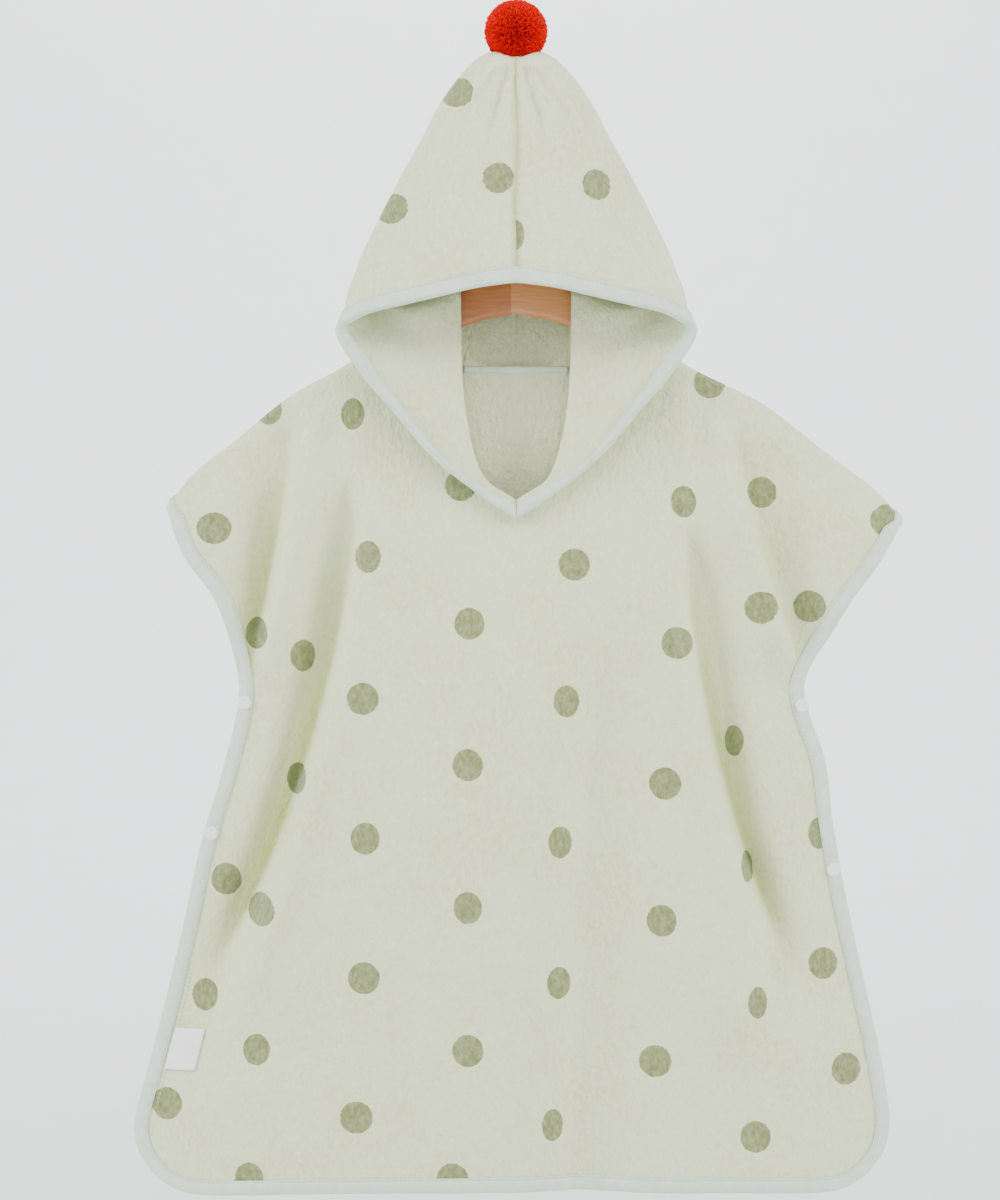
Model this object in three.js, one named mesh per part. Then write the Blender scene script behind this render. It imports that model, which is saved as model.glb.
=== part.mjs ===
import * as THREE from "three";

// A child's hooded bath poncho on a wooden hanger.
// Millimetres, +Z up, the front faces -Y, the origin is the inside top of the hanger's hook.

// Cloth and tape
const WALL = 2.6;
const GAP = 0.3;
const TAPE = 1.0;
const BAND = 10.5;
const EDGE_GAP = 0.55;
const HOOD_GAP = 1.4;
const HALF = WALL / 2;

// Hanger
const WOOD_THICK = 12;
const WOOD_SEAT = 2.5;
const HOOK_ROD = 3.6;
const HOOK_INSIDE = 18;
const HOOK_END_ANGLE = 205;

// How the panels lie round the hanger and at the snapped sides
const ROUND = WOOD_THICK / 2 + 2 * GAP + HALF;
const BULGE_DROP = 460;
const CROWN_WIDTH = 330;
const SNAPPED = HALF + GAP + TAPE + 1.0;
const SIDE_SWELL = 75;
const SIDE_CLOSES = { from: -330, to: -400 };

const PANELS = {
  front: { side: -1, bulge: 24, columns: 42, rows: 20 },
  back: { side: 1, bulge: 13, columns: 32, rows: 17 },
};

// The top line of the garment from the left sleeve's tip to the right one's, at mid wall
const SHOULDER = [
  { x: -277, z: -262 },
  { x: -257, z: -236 },
  { x: -222, z: -208 },
  { x: -187, z: -179 },
  { x: -165, z: -165 },
  { x: -137, z: -150 },
  { x: -90, z: -116 },
  { x: -44, z: -85 },
  { x: 0, z: -68 },
  { x: 44, z: -85 },
  { x: 90, z: -116 },
  { x: 137, z: -150 },
  { x: 167, z: -165 },
  { x: 198, z: -181 },
  { x: 243, z: -216 },
  { x: 286, z: -249 },
  { x: 307, z: -273 },
];

// Half of the neckline's cut, from the shoulder to the middle
const NECK = {
  front: [
    { x: 44, z: -85 },
    { x: 43.8, z: -105 },
    { x: 43.5, z: -135 },
    { x: 42, z: -175 },
    { x: 36, z: -209 },
    { x: 28, z: -234 },
    { x: 16, z: -252 },
    { x: 0, z: -262 },
  ],
  back: [
    { x: 44, z: -85 },
    { x: 43.5, z: -108 },
    { x: 40, z: -134 },
    { x: 30, z: -146 },
    { x: 15, z: -149 },
    { x: 0, z: -149 },
  ],
};
const NECK_CENTRE = { x: 0, z: -60 };
const NECK_CORNER_WAY = { x: 0.35, z: -0.94 };

// The sleeve edge and the side below it, down to the rounded corner
const LEFT_SIDE = [
  { x: -277, z: -262 },
  { x: -264, z: -299 },
  { x: -239, z: -334 },
  { x: -227, z: -368 },
  { x: -220, z: -410 },
  { x: -232, z: -468 },
  { x: -250, z: -529 },
  { x: -264, z: -593 },
  { x: -280, z: -661 },
  { x: -294, z: -714 },
  { x: -303, z: -748 },
];
const RIGHT_SIDE = [
  { x: 307, z: -273 },
  { x: 285, z: -310 },
  { x: 266, z: -335 },
  { x: 250, z: -362 },
  { x: 229, z: -404 },
  { x: 246, z: -466 },
  { x: 252, z: -515 },
  { x: 262, z: -572 },
  { x: 276, z: -637 },
  { x: 291, z: -706 },
  { x: 297, z: -746 },
];
const CORNER_RADIUS = 50;
const CORNER_SHARE = 0.2;
const CORNERS = { left: { x: -254, z: -756 }, right: { x: 247, z: -754 } };
const HEM = [
  { x: -254, z: -806 },
  { x: -130, z: -803 },
  { x: 0, z: -800 },
  { x: 80, z: -803 },
  { x: 160, z: -803 },
  { x: 247, z: -804 },
];

// Ridges stand out from the cloth and valleys sink in: their middle runs through three
// points, and left and right are how far each flank reaches.
const FOLDS = {
  front: [
    { x: [-160, -180, -206], z: [-200, -320, -440], left: 12, right: 30, out: 8, fade: 60 },
    { x: [-186, -206, -226], z: [-205, -320, -420], left: 24, right: 12, out: -7, fade: 40 },
    { x: [-236, -240, -236], z: [-225, -310, -430], left: 44, right: 34, out: 8, fade: 40 },
    { x: [-128, -168, -256], z: [-230, -440, -680], left: 22, right: 13, out: -14, fade: 70 },
    { x: [-104, -142, -226], z: [-230, -440, -700], left: 14, right: 48, out: 8, fade: 80 },
    { x: [30, 8, -6], z: [-290, -560, -1000], left: 90, right: 26, out: 9, fade: 150 },
    { x: [76, 58, 54], z: [-300, -560, -1000], left: 24, right: 52, out: -13, fade: 150 },
    { x: [116, 146, 190], z: [-270, -480, -720], left: 46, right: 14, out: 7, fade: 80 },
    { x: [138, 172, 226], z: [-270, -480, -700], left: 14, right: 26, out: -13, fade: 80 },
    { x: [158, 198, 222], z: [-210, -320, -430], left: 30, right: 12, out: 8, fade: 60 },
    { x: [186, 218, 238], z: [-205, -320, -420], left: 12, right: 24, out: -7, fade: 40 },
    { x: [262, 262, 250], z: [-235, -310, -430], left: 34, right: 44, out: 8, fade: 40 },
  ],
  back: [
    { x: [-230, -232, -232], z: [-225, -310, -430], left: 44, right: 40, out: 4, fade: 50 },
    { x: [250, 252, 248], z: [-235, -310, -430], left: 40, right: 44, out: 4, fade: 50 },
    { x: [-150, -168, -215], z: [-210, -420, -760], left: 34, right: 24, out: -5, fade: 90 },
    { x: [-70, -78, -90], z: [-260, -560, -1000], left: 40, right: 40, out: 7, fade: 160 },
    { x: [0, 6, 14], z: [-320, -600, -1000], left: 36, right: 36, out: -5, fade: 160 },
    { x: [72, 84, 104], z: [-240, -540, -1000], left: 44, right: 36, out: 7, fade: 160 },
    { x: [150, 176, 222], z: [-210, -430, -760], left: 24, right: 34, out: -5, fade: 90 },
  ],
};

// Sections of one hood half from the centre seam (first) to the V point (last). Each goes
// from the neckline (neck: place on the front or back neckline) over the back, the crest's
// back and front, and the front, to the face edge. Places are x, y, z.
const HOOD = [
  { on: "back", neck: [0, -152], back: [0, 28, -62], crestBack: [0, 8, 97],
    crestFront: [0, -13, 97], front: [0, -37, 8], face: [0, -62, -87] },
  { on: "back", neck: [15, -152], back: [32, 28, -63], crestBack: [22, 8, 93],
    crestFront: [22, -13, 93], front: [28, -36, 2], face: [30, -61, -91] },
  { on: "back", neck: [30, -149], back: [60, 25, -67], crestBack: [48, 7, 64],
    crestFront: [48, -13, 62], front: [54, -35, -14], face: [57, -59, -97] },
  { on: "back", neck: [41, -136], back: [82, 20, -74], crestBack: [76, 7, 20],
    crestFront: [76, -14, 18], front: [80, -34, -38], face: [84, -56, -103] },
  { on: "back", neck: [44, -108], back: [98, 16, -84], crestBack: [100, 6, -20],
    crestFront: [101, -15, -23], front: [103, -35, -62], face: [108, -52, -108] },
  { on: "back", neck: [44, -93], back: [99, 12, -87], crestBack: [111, 5, -38],
    crestFront: [112, -15, -42], front: [113, -35, -74], face: [116, -50, -110] },
  { on: "front", neck: [44, -85], back: [98, 6, -91], crestBack: [120, 3, -58],
    crestFront: [121, -15, -61], front: [122, -34, -86], face: [124, -47, -113] },
  { on: "front", neck: [44, -93], back: [96, -5, -98], crestBack: [125, 0, -75],
    crestFront: [127, -17, -78], front: [128, -33, -97], face: [130, -44, -116] },
  { on: "front", neck: [43.8, -100], back: [90, -15, -106], crestBack: [128, -4, -90],
    crestFront: [132, -18, -93], front: [134, -32, -106], face: [135, -42, -118] },
  { on: "front", neck: [43.5, -125], back: [82, -15, -124], crestBack: [110, -19, -122],
    crestFront: [125, -24, -122], front: [133, -31, -123], face: [140, -38, -125] },
  { on: "front", neck: [43, -152], back: [66, -18, -150], crestBack: [86, -22, -149],
    crestFront: [102, -26, -150], front: [114, -30, -151], face: [124, -35, -153] },
  { on: "front", neck: [38, -200], back: [52, -20, -197], crestBack: [64, -22, -194],
    crestFront: [76, -25, -191], front: [87, -28, -188], face: [97, -32, -185] },
  { on: "front", neck: [25, -240], back: [33, -21, -237], crestBack: [40, -23, -235],
    crestFront: [46, -25, -232.5], front: [52, -26.6, -230], face: [61, -29, -226] },
  { on: "front", neck: [0.3, -258], back: [0.3, -22.9, -258.6], crestBack: [0.3, -23, -259.2],
    crestFront: [0.3, -23.1, -259.8], front: [0.3, -23.2, -260.6], face: [0.3, -25, -271] },
];
const HOOD_STATIONS = [0, 0.4, 0.75, 1, 1.4, 1.8, 2, 2.33, 2.67, 3, 3.3, 3.7, 4, 4.5];
const HOOD_STEPS = 2;
const NECK_LAP = 1.8;

// Pompom
const POMPOM_RADIUS = 25;
const POMPOM_CORE = 16.5;
const POMPOM_CENTRE = { y: -3, z: 118 };
const LOCK_ROOT = 0.85;
const LOWEST_LOCK = -0.6;

// Snaps: how high each one sits, and its discs
const SNAPS = [
  { name: "snap_left_upper", edge: "left", z: -418 },
  { name: "snap_left_lower", edge: "left", z: -522 },
  { name: "snap_right_upper", edge: "right", z: -420 },
  { name: "snap_right_lower", edge: "right", z: -551 },
];
const CAP = { radius: 5.5, thick: 1.5, sides: 12, lift: 0.9 };
const SOCKET = { radius: 4.2, thick: 1.3, sides: 8 };

// Label and neck tape
const LABEL = { thick: 0.8, from: 13, wide: 25, top: -677, bottom: -710, lift: 0.7 };
const NECK_TAPE = { thick: 1.0, tall: 5, reach: 36 };

const COLOURS = {
  terry: { color: 0xd9dbca, roughness: 0.95, metalness: 0 },
  tape: { color: 0xdae8d5, roughness: 0.8, metalness: 0 },
  yarn: { color: 0xd70508, roughness: 0.9, metalness: 0 },
  snap: { color: 0xf4f5f2, roughness: 0.4, metalness: 0 },
  label: { color: 0xf2f3f1, roughness: 0.6, metalness: 0 },
  wood: { color: 0xbe8255, roughness: 0.55, metalness: 0 },
  steel: { color: 0xb9bcc0, roughness: 0.3, metalness: 1 },
};

function lerp(a, b, k) {
  return a + (b - a) * k;
}

function smooth(k) {
  const c = Math.min(1, Math.max(0, k));
  return c * c * (3 - 2 * c);
}

// Reads one column of a table at a value of another column, straight between its rows.
function lookUp(table, from, at, to) {
  const rising = table[table.length - 1][from] > table[0][from];
  const rows = rising ? table : [...table].reverse();
  const last = rows.length - 2;
  let k = rows.findIndex((row, i) => i < rows.length - 1 && at <= rows[i + 1][from]);
  k = k < 0 ? last : k;
  const share = (at - rows[k][from]) / (rows[k + 1][from] - rows[k][from]);
  return lerp(rows[k][to], rows[k + 1][to], Math.min(1, Math.max(0, share)));
}

const shoulderCurve = new THREE.SplineCurve(SHOULDER.map((p) => new THREE.Vector2(p.x, p.z)));
const shoulderTable = shoulderCurve.getPoints(160).map((p) => ({ x: p.x, z: p.y }));

function shoulderZ(x) {
  return lookUp(shoulderTable, "x", x, "z");
}

function quadratic(xs, zs, z) {
  const k = Math.min(1, Math.max(0, (zs[0] - z) / (zs[0] - zs[2])));
  const m = (zs[0] - zs[1]) / (zs[0] - zs[2]);
  const bend = (xs[1] - lerp(xs[0], xs[2], m)) / (m * (1 - m));
  return lerp(xs[0], xs[2], k) + bend * k * (1 - k);
}

function foldOut(fold, x, z) {
  const off = x - quadratic(fold.x, fold.z, z);
  const reach = off < 0 ? fold.left : fold.right;
  const starts = smooth((fold.z[0] - z) / fold.fade);
  const ends = smooth((z - fold.z[2]) / fold.fade);
  return fold.out * Math.exp(-((off / reach) ** 2)) * starts * ends;
}

// How far the middle of a panel's wall stands from the garment's middle plane.
function standOut(face, x, z) {
  const drop = Math.max(0, shoulderZ(x) - z);
  const overArm = Math.sqrt(Math.max(0, ROUND ** 2 - Math.max(0, ROUND - drop) ** 2));
  const crown = 0.45 + 0.55 * Math.cos((Math.PI / 2) * (x / CROWN_WIDTH));
  let out = Math.max(GAP / 2, overArm);
  out += PANELS[face].bulge * smooth(drop / BULGE_DROP) * crown;
  for (const fold of FOLDS[face]) {
    out += foldOut(fold, x, z);
  }
  const inside = Math.min(x - lookUp(LEFT_SIDE, "z", z, "x"), lookUp(RIGHT_SIDE, "z", z, "x") - x);
  const open = smooth(inside / SIDE_SWELL);
  const closing = smooth((SIDE_CLOSES.from - z) / (SIDE_CLOSES.from - SIDE_CLOSES.to));
  return lerp(out, lerp(SNAPPED, Math.max(out, SNAPPED), open), closing);
}

function middlePoint(face, x, z) {
  return new THREE.Vector3(x, PANELS[face].side * standOut(face, x, z), z);
}

// The way out of a panel at a place of its middle surface.
function wayOut(face, x, z) {
  const h = 0.4;
  if (shoulderZ(x) - z < 0.01) {
    return new THREE.Vector3(shoulderZ(x - h) - shoulderZ(x + h), 0, 2 * h).normalize();
  }
  const byX = (standOut(face, x + h, z) - standOut(face, x - h, z)) / (2 * h);
  const byZ = (standOut(face, x, z + h) - standOut(face, x, z - h)) / (2 * h);
  return new THREE.Vector3(-byX, PANELS[face].side, -byZ).normalize();
}

function moved(point, way, distance) {
  return point.clone().addScaledVector(way, distance);
}

// One closed body from points and triangles, its faces pointing out.
function closedBody(points, triangles) {
  const positions = points.flatMap((p) => [p.x, p.y, p.z]);
  const geometry = new THREE.BufferGeometry();
  geometry.setAttribute("position", new THREE.Float32BufferAttribute(positions, 3));
  let volume = 0;
  for (const [a, b, c] of triangles) {
    volume += points[a].dot(points[b].clone().cross(points[c]));
  }
  const facing = volume > 0 ? triangles : triangles.map(([a, b, c]) => [a, c, b]);
  geometry.setIndex(facing.flat());
  geometry.computeVertexNormals();
  return geometry;
}

// The wall between two matching grids of points, closed along all four sides. Where
// otherWay says so, a cell is split along its other diagonal.
function wallBetween(outer, inner, otherWay = () => false) {
  const rows = outer.length;
  const columns = outer[0].length;
  const points = [...outer.flat(), ...inner.flat()];
  const triangles = [];
  const at = (layer, r, c) => layer * rows * columns + r * columns + c;
  const quad = (a, b, c, d) => triangles.push([a, b, c], [a, c, d]);
  for (let r = 0; r < rows - 1; r += 1) {
    for (let c = 0; c < columns - 1; c += 1) {
      if (otherWay(r, c)) {
        quad(at(0, r, c + 1), at(0, r + 1, c + 1), at(0, r + 1, c), at(0, r, c));
        quad(at(1, r + 1, c), at(1, r + 1, c + 1), at(1, r, c + 1), at(1, r, c));
      } else {
        quad(at(0, r, c), at(0, r, c + 1), at(0, r + 1, c + 1), at(0, r + 1, c));
        quad(at(1, r, c), at(1, r + 1, c), at(1, r + 1, c + 1), at(1, r, c + 1));
      }
    }
  }
  for (let r = 0; r < rows - 1; r += 1) {
    quad(at(0, r, 0), at(0, r + 1, 0), at(1, r + 1, 0), at(1, r, 0));
    const c = columns - 1;
    quad(at(0, r, c), at(1, r, c), at(1, r + 1, c), at(0, r + 1, c));
  }
  for (let c = 0; c < columns - 1; c += 1) {
    quad(at(0, 0, c), at(1, 0, c), at(1, 0, c + 1), at(0, 0, c + 1));
    const r = rows - 1;
    quad(at(0, r, c), at(0, r, c + 1), at(1, r, c + 1), at(1, r, c));
  }
  return closedBody(points, triangles);
}

// A solid lofted through rings of equal count, with flat ends.
function lofted(rings) {
  const count = rings[0].length;
  const points = rings.flat();
  const triangles = [];
  for (let r = 0; r < rings.length - 1; r += 1) {
    for (let k = 0; k < count; k += 1) {
      const a = r * count + k;
      const b = r * count + ((k + 1) % count);
      triangles.push([a, b, b + count], [a, b + count, a + count]);
    }
  }
  const last = (rings.length - 1) * count;
  for (let k = 1; k < count - 1; k += 1) {
    triangles.push([0, k + 1, k], [last, last + k, last + k + 1]);
  }
  return closedBody(points, triangles);
}

function part(name, geometry, colour) {
  const mesh = new THREE.Mesh(geometry, new THREE.MeshStandardMaterial(COLOURS[colour]));
  mesh.name = name;
  return mesh;
}

// Places of a path at given distances from its start.
function along(points, distances) {
  const curve = new THREE.SplineCurve(points.map((p) => new THREE.Vector2(p.x, p.z)));
  curve.arcLengthDivisions = 800;
  const length = curve.getLength();
  return distances.map((d) => curve.getPointAt(Math.min(1, Math.max(0, d / length))));
}

function pathLength(points) {
  return new THREE.SplineCurve(points.map((p) => new THREE.Vector2(p.x, p.z))).getLength();
}

function cornerArc(corner, startDegrees, endDegrees) {
  const steps = 4;
  const arc = [];
  for (let k = 0; k <= steps; k += 1) {
    const angle = THREE.MathUtils.degToRad(lerp(startDegrees, endDegrees, k / steps));
    arc.push({
      x: corner.x + CORNER_RADIUS * Math.cos(angle),
      z: corner.z + CORNER_RADIUS * Math.sin(angle),
    });
  }
  return arc;
}

// Distances down a side: three close rows over the shoulder, even ones, and the corner.
function rowDistances(length, rows) {
  const first = [0, ROUND * (1 - Math.SQRT1_2), ROUND];
  const corner = [length - BAND - 14, length - BAND, length];
  const between = rows + 1 - first.length - corner.length;
  const distances = [...first];
  for (let k = 1; k <= between; k += 1) {
    distances.push(lerp(ROUND, corner[0], k / (between + 1)));
  }
  return [...distances, ...corner];
}

// Places across a panel, from 0 to 1: close at both edges and round the neck.
function columnShares(face) {
  const span = SHOULDER[SHOULDER.length - 1].x - SHOULDER[0].x;
  const neckLeft = (-NECK[face][0].x - SHOULDER[0].x) / span;
  const neckRight = (NECK[face][0].x - SHOULDER[0].x) / span;
  const overArm = [ROUND * (1 - Math.SQRT1_2), ROUND];
  const neckSteps = face === "front" ? 10 : 8;
  const neckShare = (neckRight - neckLeft) / 2 / pathLength(NECK[face]);
  const sideSteps = (PANELS[face].columns - neckSteps) / 2 - overArm.length;
  const band = BAND / span;
  const shares = [0];
  for (let k = 0; k < sideSteps; k += 1) {
    shares.push(lerp(band, neckLeft, k / (sideSteps - 1)));
  }
  shares.push(...overArm.map((distance) => neckLeft + distance * neckShare));
  for (let k = 1; k < neckSteps; k += 1) {
    shares.push(lerp(neckLeft, neckRight, k / neckSteps));
  }
  shares.push(...overArm.reverse().map((distance) => neckRight - distance * neckShare));
  for (let k = 0; k < sideSteps; k += 1) {
    shares.push(lerp(neckRight, 1 - band, k / (sideSteps - 1)));
  }
  shares.push(1);
  return { shares, neckLeft, neckRight };
}

function topPlace(face, share, neckLeft, neckRight) {
  const first = SHOULDER[0].x;
  const last = SHOULDER[SHOULDER.length - 1].x;
  if (share <= neckLeft + 1e-9 || share >= neckRight - 1e-9) {
    const x = lerp(first, last, share);
    return new THREE.Vector2(x, shoulderZ(x));
  }
  const middle = (neckLeft + neckRight) / 2;
  const side = Math.sign(share - middle);
  const toMiddle = 1 - Math.abs(share - middle) / (neckRight - middle);
  const [place] = along(NECK[face], [toMiddle * pathLength(NECK[face])]);
  return new THREE.Vector2(side * place.x, place.y);
}

function insetBy(path, k, distance, turn) {
  const before = path[Math.max(0, k - 1)];
  const after = path[Math.min(path.length - 1, k + 1)];
  const way = after.clone().sub(before).normalize();
  return new THREE.Vector2(path[k].x - turn * way.y * distance, path[k].y + turn * way.x * distance);
}

// The way into the cloth from a place on the neckline.
function neckInset(place) {
  if (place.y > NECK.front[0].z - 1) {
    return new THREE.Vector2(Math.sign(place.x) * NECK_CORNER_WAY.x, NECK_CORNER_WAY.z);
  }
  return new THREE.Vector2(place.x - NECK_CENTRE.x, place.y - NECK_CENTRE.z).normalize();
}

// The places of a panel's grid, seen from the front: an edge band all round but the top,
// three close rows under the shoulder and neckline, and an even blend between them.
function panelPlaces(face) {
  const { rows, columns } = PANELS[face];
  const leftPath = [...LEFT_SIDE, ...cornerArc(CORNERS.left, 180, 225)];
  const rightPath = [...RIGHT_SIDE, ...cornerArc(CORNERS.right, 0, -45)];
  const hemPath = [
    ...cornerArc(CORNERS.left, 225, 270),
    ...HEM.slice(1, -1),
    ...cornerArc(CORNERS.right, -90, -45),
  ];
  const left = along(leftPath, rowDistances(pathLength(leftPath), rows));
  const right = along(rightPath, rowDistances(pathLength(rightPath), rows));
  const { shares, neckLeft, neckRight } = columnShares(face);
  const hem = along(hemPath, shares.map((s) => s * pathLength(hemPath)));
  const top = shares.map((s) => topPlace(face, s, neckLeft, neckRight));
  const grid = left.map(() => []);
  const belowTop = rowDistances(pathLength(leftPath), rows).slice(0, 3);
  for (let c = 0; c <= columns; c += 1) {
    const inNeck = shares[c] > neckLeft - 1e-9 && shares[c] < neckRight + 1e-9;
    const way = neckInset(top[c]);
    for (let r = 0; r < 3; r += 1) {
      const step = inNeck ? way.clone().multiplyScalar(belowTop[r]) : new THREE.Vector2(0, -belowTop[r]);
      grid[r][c] = top[c].clone().add(step);
    }
  }
  for (let r = 0; r <= rows; r += 1) {
    grid[r][0] = left[r];
    grid[r][columns] = right[r];
    if (r >= 3) {
      grid[r][1] = insetBy(left, r, BAND, 1);
      grid[r][columns - 1] = insetBy(right, r, BAND, -1);
    }
  }
  for (let c = 0; c <= columns; c += 1) {
    grid[rows][c] = hem[c];
    if (c > 0 && c < columns) {
      grid[rows - 1][c] = insetBy(hem, c, BAND, 1);
    }
  }
  const cornerIn = BAND * Math.SQRT1_2;
  grid[rows - 1][1] = hem[0].clone().add(new THREE.Vector2(cornerIn, cornerIn));
  grid[rows - 1][columns - 1] = hem[columns].clone().add(new THREE.Vector2(-cornerIn, cornerIn));
  return { grid: blended(grid, shares, rows, columns), rows, columns };
}

// Fills the inside of the grid from its band: the four sides are blended evenly.
function blended(grid, shares, rows, columns) {
  const topRow = 2;
  const lowRow = rows - 1;
  const lastColumn = columns - 1;
  for (let r = topRow + 1; r < lowRow; r += 1) {
    const v = (r - topRow) / (lowRow - topRow);
    for (let c = 2; c < lastColumn; c += 1) {
      const u = (shares[c] - shares[1]) / (shares[lastColumn] - shares[1]);
      const place = new THREE.Vector2();
      const add = (point, weight) => place.addScaledVector(point, weight);
      add(grid[topRow][c], 1 - v);
      add(grid[lowRow][c], v);
      add(grid[r][1], 1 - u);
      add(grid[r][lastColumn], u);
      add(grid[topRow][1], -(1 - u) * (1 - v));
      add(grid[topRow][lastColumn], -u * (1 - v));
      add(grid[lowRow][1], -(1 - u) * v);
      add(grid[lowRow][lastColumn], -u * v);
      grid[r][c] = place;
    }
  }
  return grid;
}

function panelSurface(face) {
  const { grid, rows, columns } = panelPlaces(face);
  const middle = grid.map((row) => row.map((p) => middlePoint(face, p.x, p.y)));
  const ways = grid.map((row) => row.map((p) => wayOut(face, p.x, p.y)));
  return { middle, ways, rows, columns };
}

function cloth(surface) {
  const side = (distance) => surface.middle.map((row, r) =>
    row.map((point, c) => moved(point, surface.ways[r][c], distance)));
  return wallBetween(side(HALF), side(-HALF));
}

// A tape folded over an edge: pairs of an edge point and the point one band inside it.
// Its cells are split as the cloth's are: edgeFirst says along which diagonal.
function binding(pairs, clearance) {
  const outer = [];
  const inner = [];
  const near = HALF + clearance;
  const far = near + TAPE;
  for (const { edge, edgeWay, inside, insideWay } of pairs) {
    const beyond = edge.clone().sub(inside).normalize();
    const lip = moved(edge, beyond, clearance + TAPE);
    const seat = moved(edge, beyond, clearance);
    outer.push([
      moved(inside, insideWay, far),
      moved(lip, edgeWay, far),
      moved(lip, edgeWay, -far),
      moved(inside, insideWay, -far),
    ]);
    inner.push([
      moved(inside, insideWay, near),
      moved(seat, edgeWay, near),
      moved(seat, edgeWay, -near),
      moved(inside, insideWay, -near),
    ]);
  }
  return wallBetween(outer, inner, (r, c) => (c === 2) !== pairs[r].edgeFirst && c !== 1);
}

function panelEdgePairs(surface) {
  const { middle, ways, rows, columns } = surface;
  const low = rows - 1;
  const far = columns - 1;
  const pair = (r, c, ri, ci, edgeFirst, towards = [ri, ci]) => ({
    edge: middle[r][c],
    edgeWay: ways[r][c],
    inside: middle[ri][ci].clone().lerp(middle[towards[0]][towards[1]], CORNER_SHARE),
    insideWay: ways[ri][ci].clone().lerp(ways[towards[0]][towards[1]], CORNER_SHARE),
    edgeFirst,
  });
  const pairs = [];
  for (let r = 0; r < low; r += 1) {
    pairs.push(pair(r, 0, r, 1, true));
  }
  pairs.push(pair(low, 0, low, 1, true, [low - 1, 1]));
  pairs.push(pair(rows, 0, low, 1, false));
  pairs.push(pair(rows, 1, low, 1, false, [low, 2]));
  for (let c = 2; c < far; c += 1) {
    pairs.push(pair(rows, c, low, c, false));
  }
  pairs.push(pair(rows, far, low, far, false, [low, far - 1]));
  pairs.push(pair(rows, columns, low, far, true));
  pairs.push(pair(low, columns, low, far, true, [low - 1, far]));
  for (let r = low - 1; r >= 0; r -= 1) {
    pairs.push(pair(r, columns, r, far, true));
  }
  return pairs;
}

// Middle points of one hood half, a row for each section; mirror is 1 right, -1 left.
function hoodSurface(mirror) {
  const keys = ["neck", "back", "crestBack", "crestFront", "front", "face"];
  const tracks = keys.map((key) => new THREE.CatmullRomCurve3(HOOD.map((row) => {
    if (key !== "neck") {
      return new THREE.Vector3(...row[key]);
    }
    const [x, z] = row.neck;
    const seat = middlePoint(row.on, x, z);
    return moved(seat, wayOut(row.on, x, z), WALL + GAP + NECK_LAP);
  }), false, "centripetal"));
  const sections = (HOOD.length - 1) * HOOD_STEPS;
  const middle = [];
  for (let s = 0; s <= sections; s += 1) {
    const controls = tracks.map((track) => track.getPoint(s / sections));
    const curve = new THREE.CatmullRomCurve3(controls, false, "centripetal");
    const lastSpan = controls[4].distanceTo(controls[5]);
    const bandShare = Math.min(0.9, BAND / lastSpan);
    const intervals = controls.length - 1;
    const stations = HOOD_STATIONS.filter((k) => k < intervals - bandShare - 0.08);
    while (stations.length < HOOD_STATIONS.length) {
      stations.push(lerp(stations[stations.length - 1], intervals - bandShare, 0.5));
    }
    stations.push(intervals - bandShare, intervals);
    middle.push(stations.map((k) => curve.getPoint(k / intervals)));
  }
  const ways = gridNormals(middle);
  for (const ends of [0, sections]) {
    ways[ends].forEach((way) => way.setX(0).normalize());
  }
  middle[0].forEach((point) => point.setX(GAP / 2));
  const flip = (v) => v.setX(v.x * mirror);
  middle.forEach((row) => row.forEach(flip));
  ways.forEach((row) => row.forEach(flip));
  return { middle, ways };
}

// Normals of a grid of points, from the neighbours along its rows and columns.
function gridNormals(points) {
  const last = points.length - 1;
  const end = points[0].length - 1;
  return points.map((row, r) => row.map((_, c) => {
    const down = points[Math.min(last, r + 1)][c].clone().sub(points[Math.max(0, r - 1)][c]);
    const across = points[r][Math.min(end, c + 1)].clone().sub(points[r][Math.max(0, c - 1)]);
    return across.cross(down).normalize();
  }));
}

function hoodEdgePairs(left, right) {
  const end = left.middle[0].length - 1;
  const pair = (half, s, edgeFirst) => ({
    edge: half.middle[s][end],
    edgeWay: half.ways[s][end],
    inside: half.middle[s][end - 1],
    insideWay: half.ways[s][end - 1],
    edgeFirst,
  });
  const count = left.middle.length;
  const pairs = [];
  for (let s = count - 1; s > 0; s -= 1) {
    pairs.push(pair(left, s, true));
  }
  const centre = pair(left, 0, false);
  centre.edge = centre.edge.clone().setX(0);
  centre.inside = centre.inside.clone().setX(0);
  pairs.push(centre);
  for (let s = 1; s < count; s += 1) {
    pairs.push(pair(right, s, false));
  }
  return pairs;
}

function neckTape() {
  const steps = 12;
  const outer = [];
  const inner = [];
  const neck = NECK.back.map((p) => ({ x: p.x, z: p.z })).reverse();
  const near = HALF + GAP;
  for (let k = 0; k <= steps; k += 1) {
    const x = lerp(-NECK_TAPE.reach, NECK_TAPE.reach, k / steps);
    const top = lookUp(neck, "x", Math.abs(x), "z");
    const row = (distance) => [top + 0.5, top + 0.5 - NECK_TAPE.tall].map((z) =>
      moved(middlePoint("back", x, z), wayOut("back", x, z), -distance));
    outer.push(row(near + NECK_TAPE.thick));
    inner.push(row(near));
  }
  return wallBetween(outer, inner);
}

function label() {
  const outer = [];
  const inner = [];
  const steps = 3;
  const near = HALF + LABEL.lift;
  for (let r = 0; r <= steps; r += 1) {
    const z = lerp(LABEL.top, LABEL.bottom, r / steps);
    const start = lookUp(LEFT_SIDE, "z", z, "x") + LABEL.from;
    const row = (distance) => [0, 1, 2].map((c) => {
      const x = start + (LABEL.wide * c) / 2;
      return moved(middlePoint("front", x, z), wayOut("front", x, z), distance);
    });
    outer.push(row(near + LABEL.thick));
    inner.push(row(near));
  }
  return wallBetween(outer, inner);
}

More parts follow.
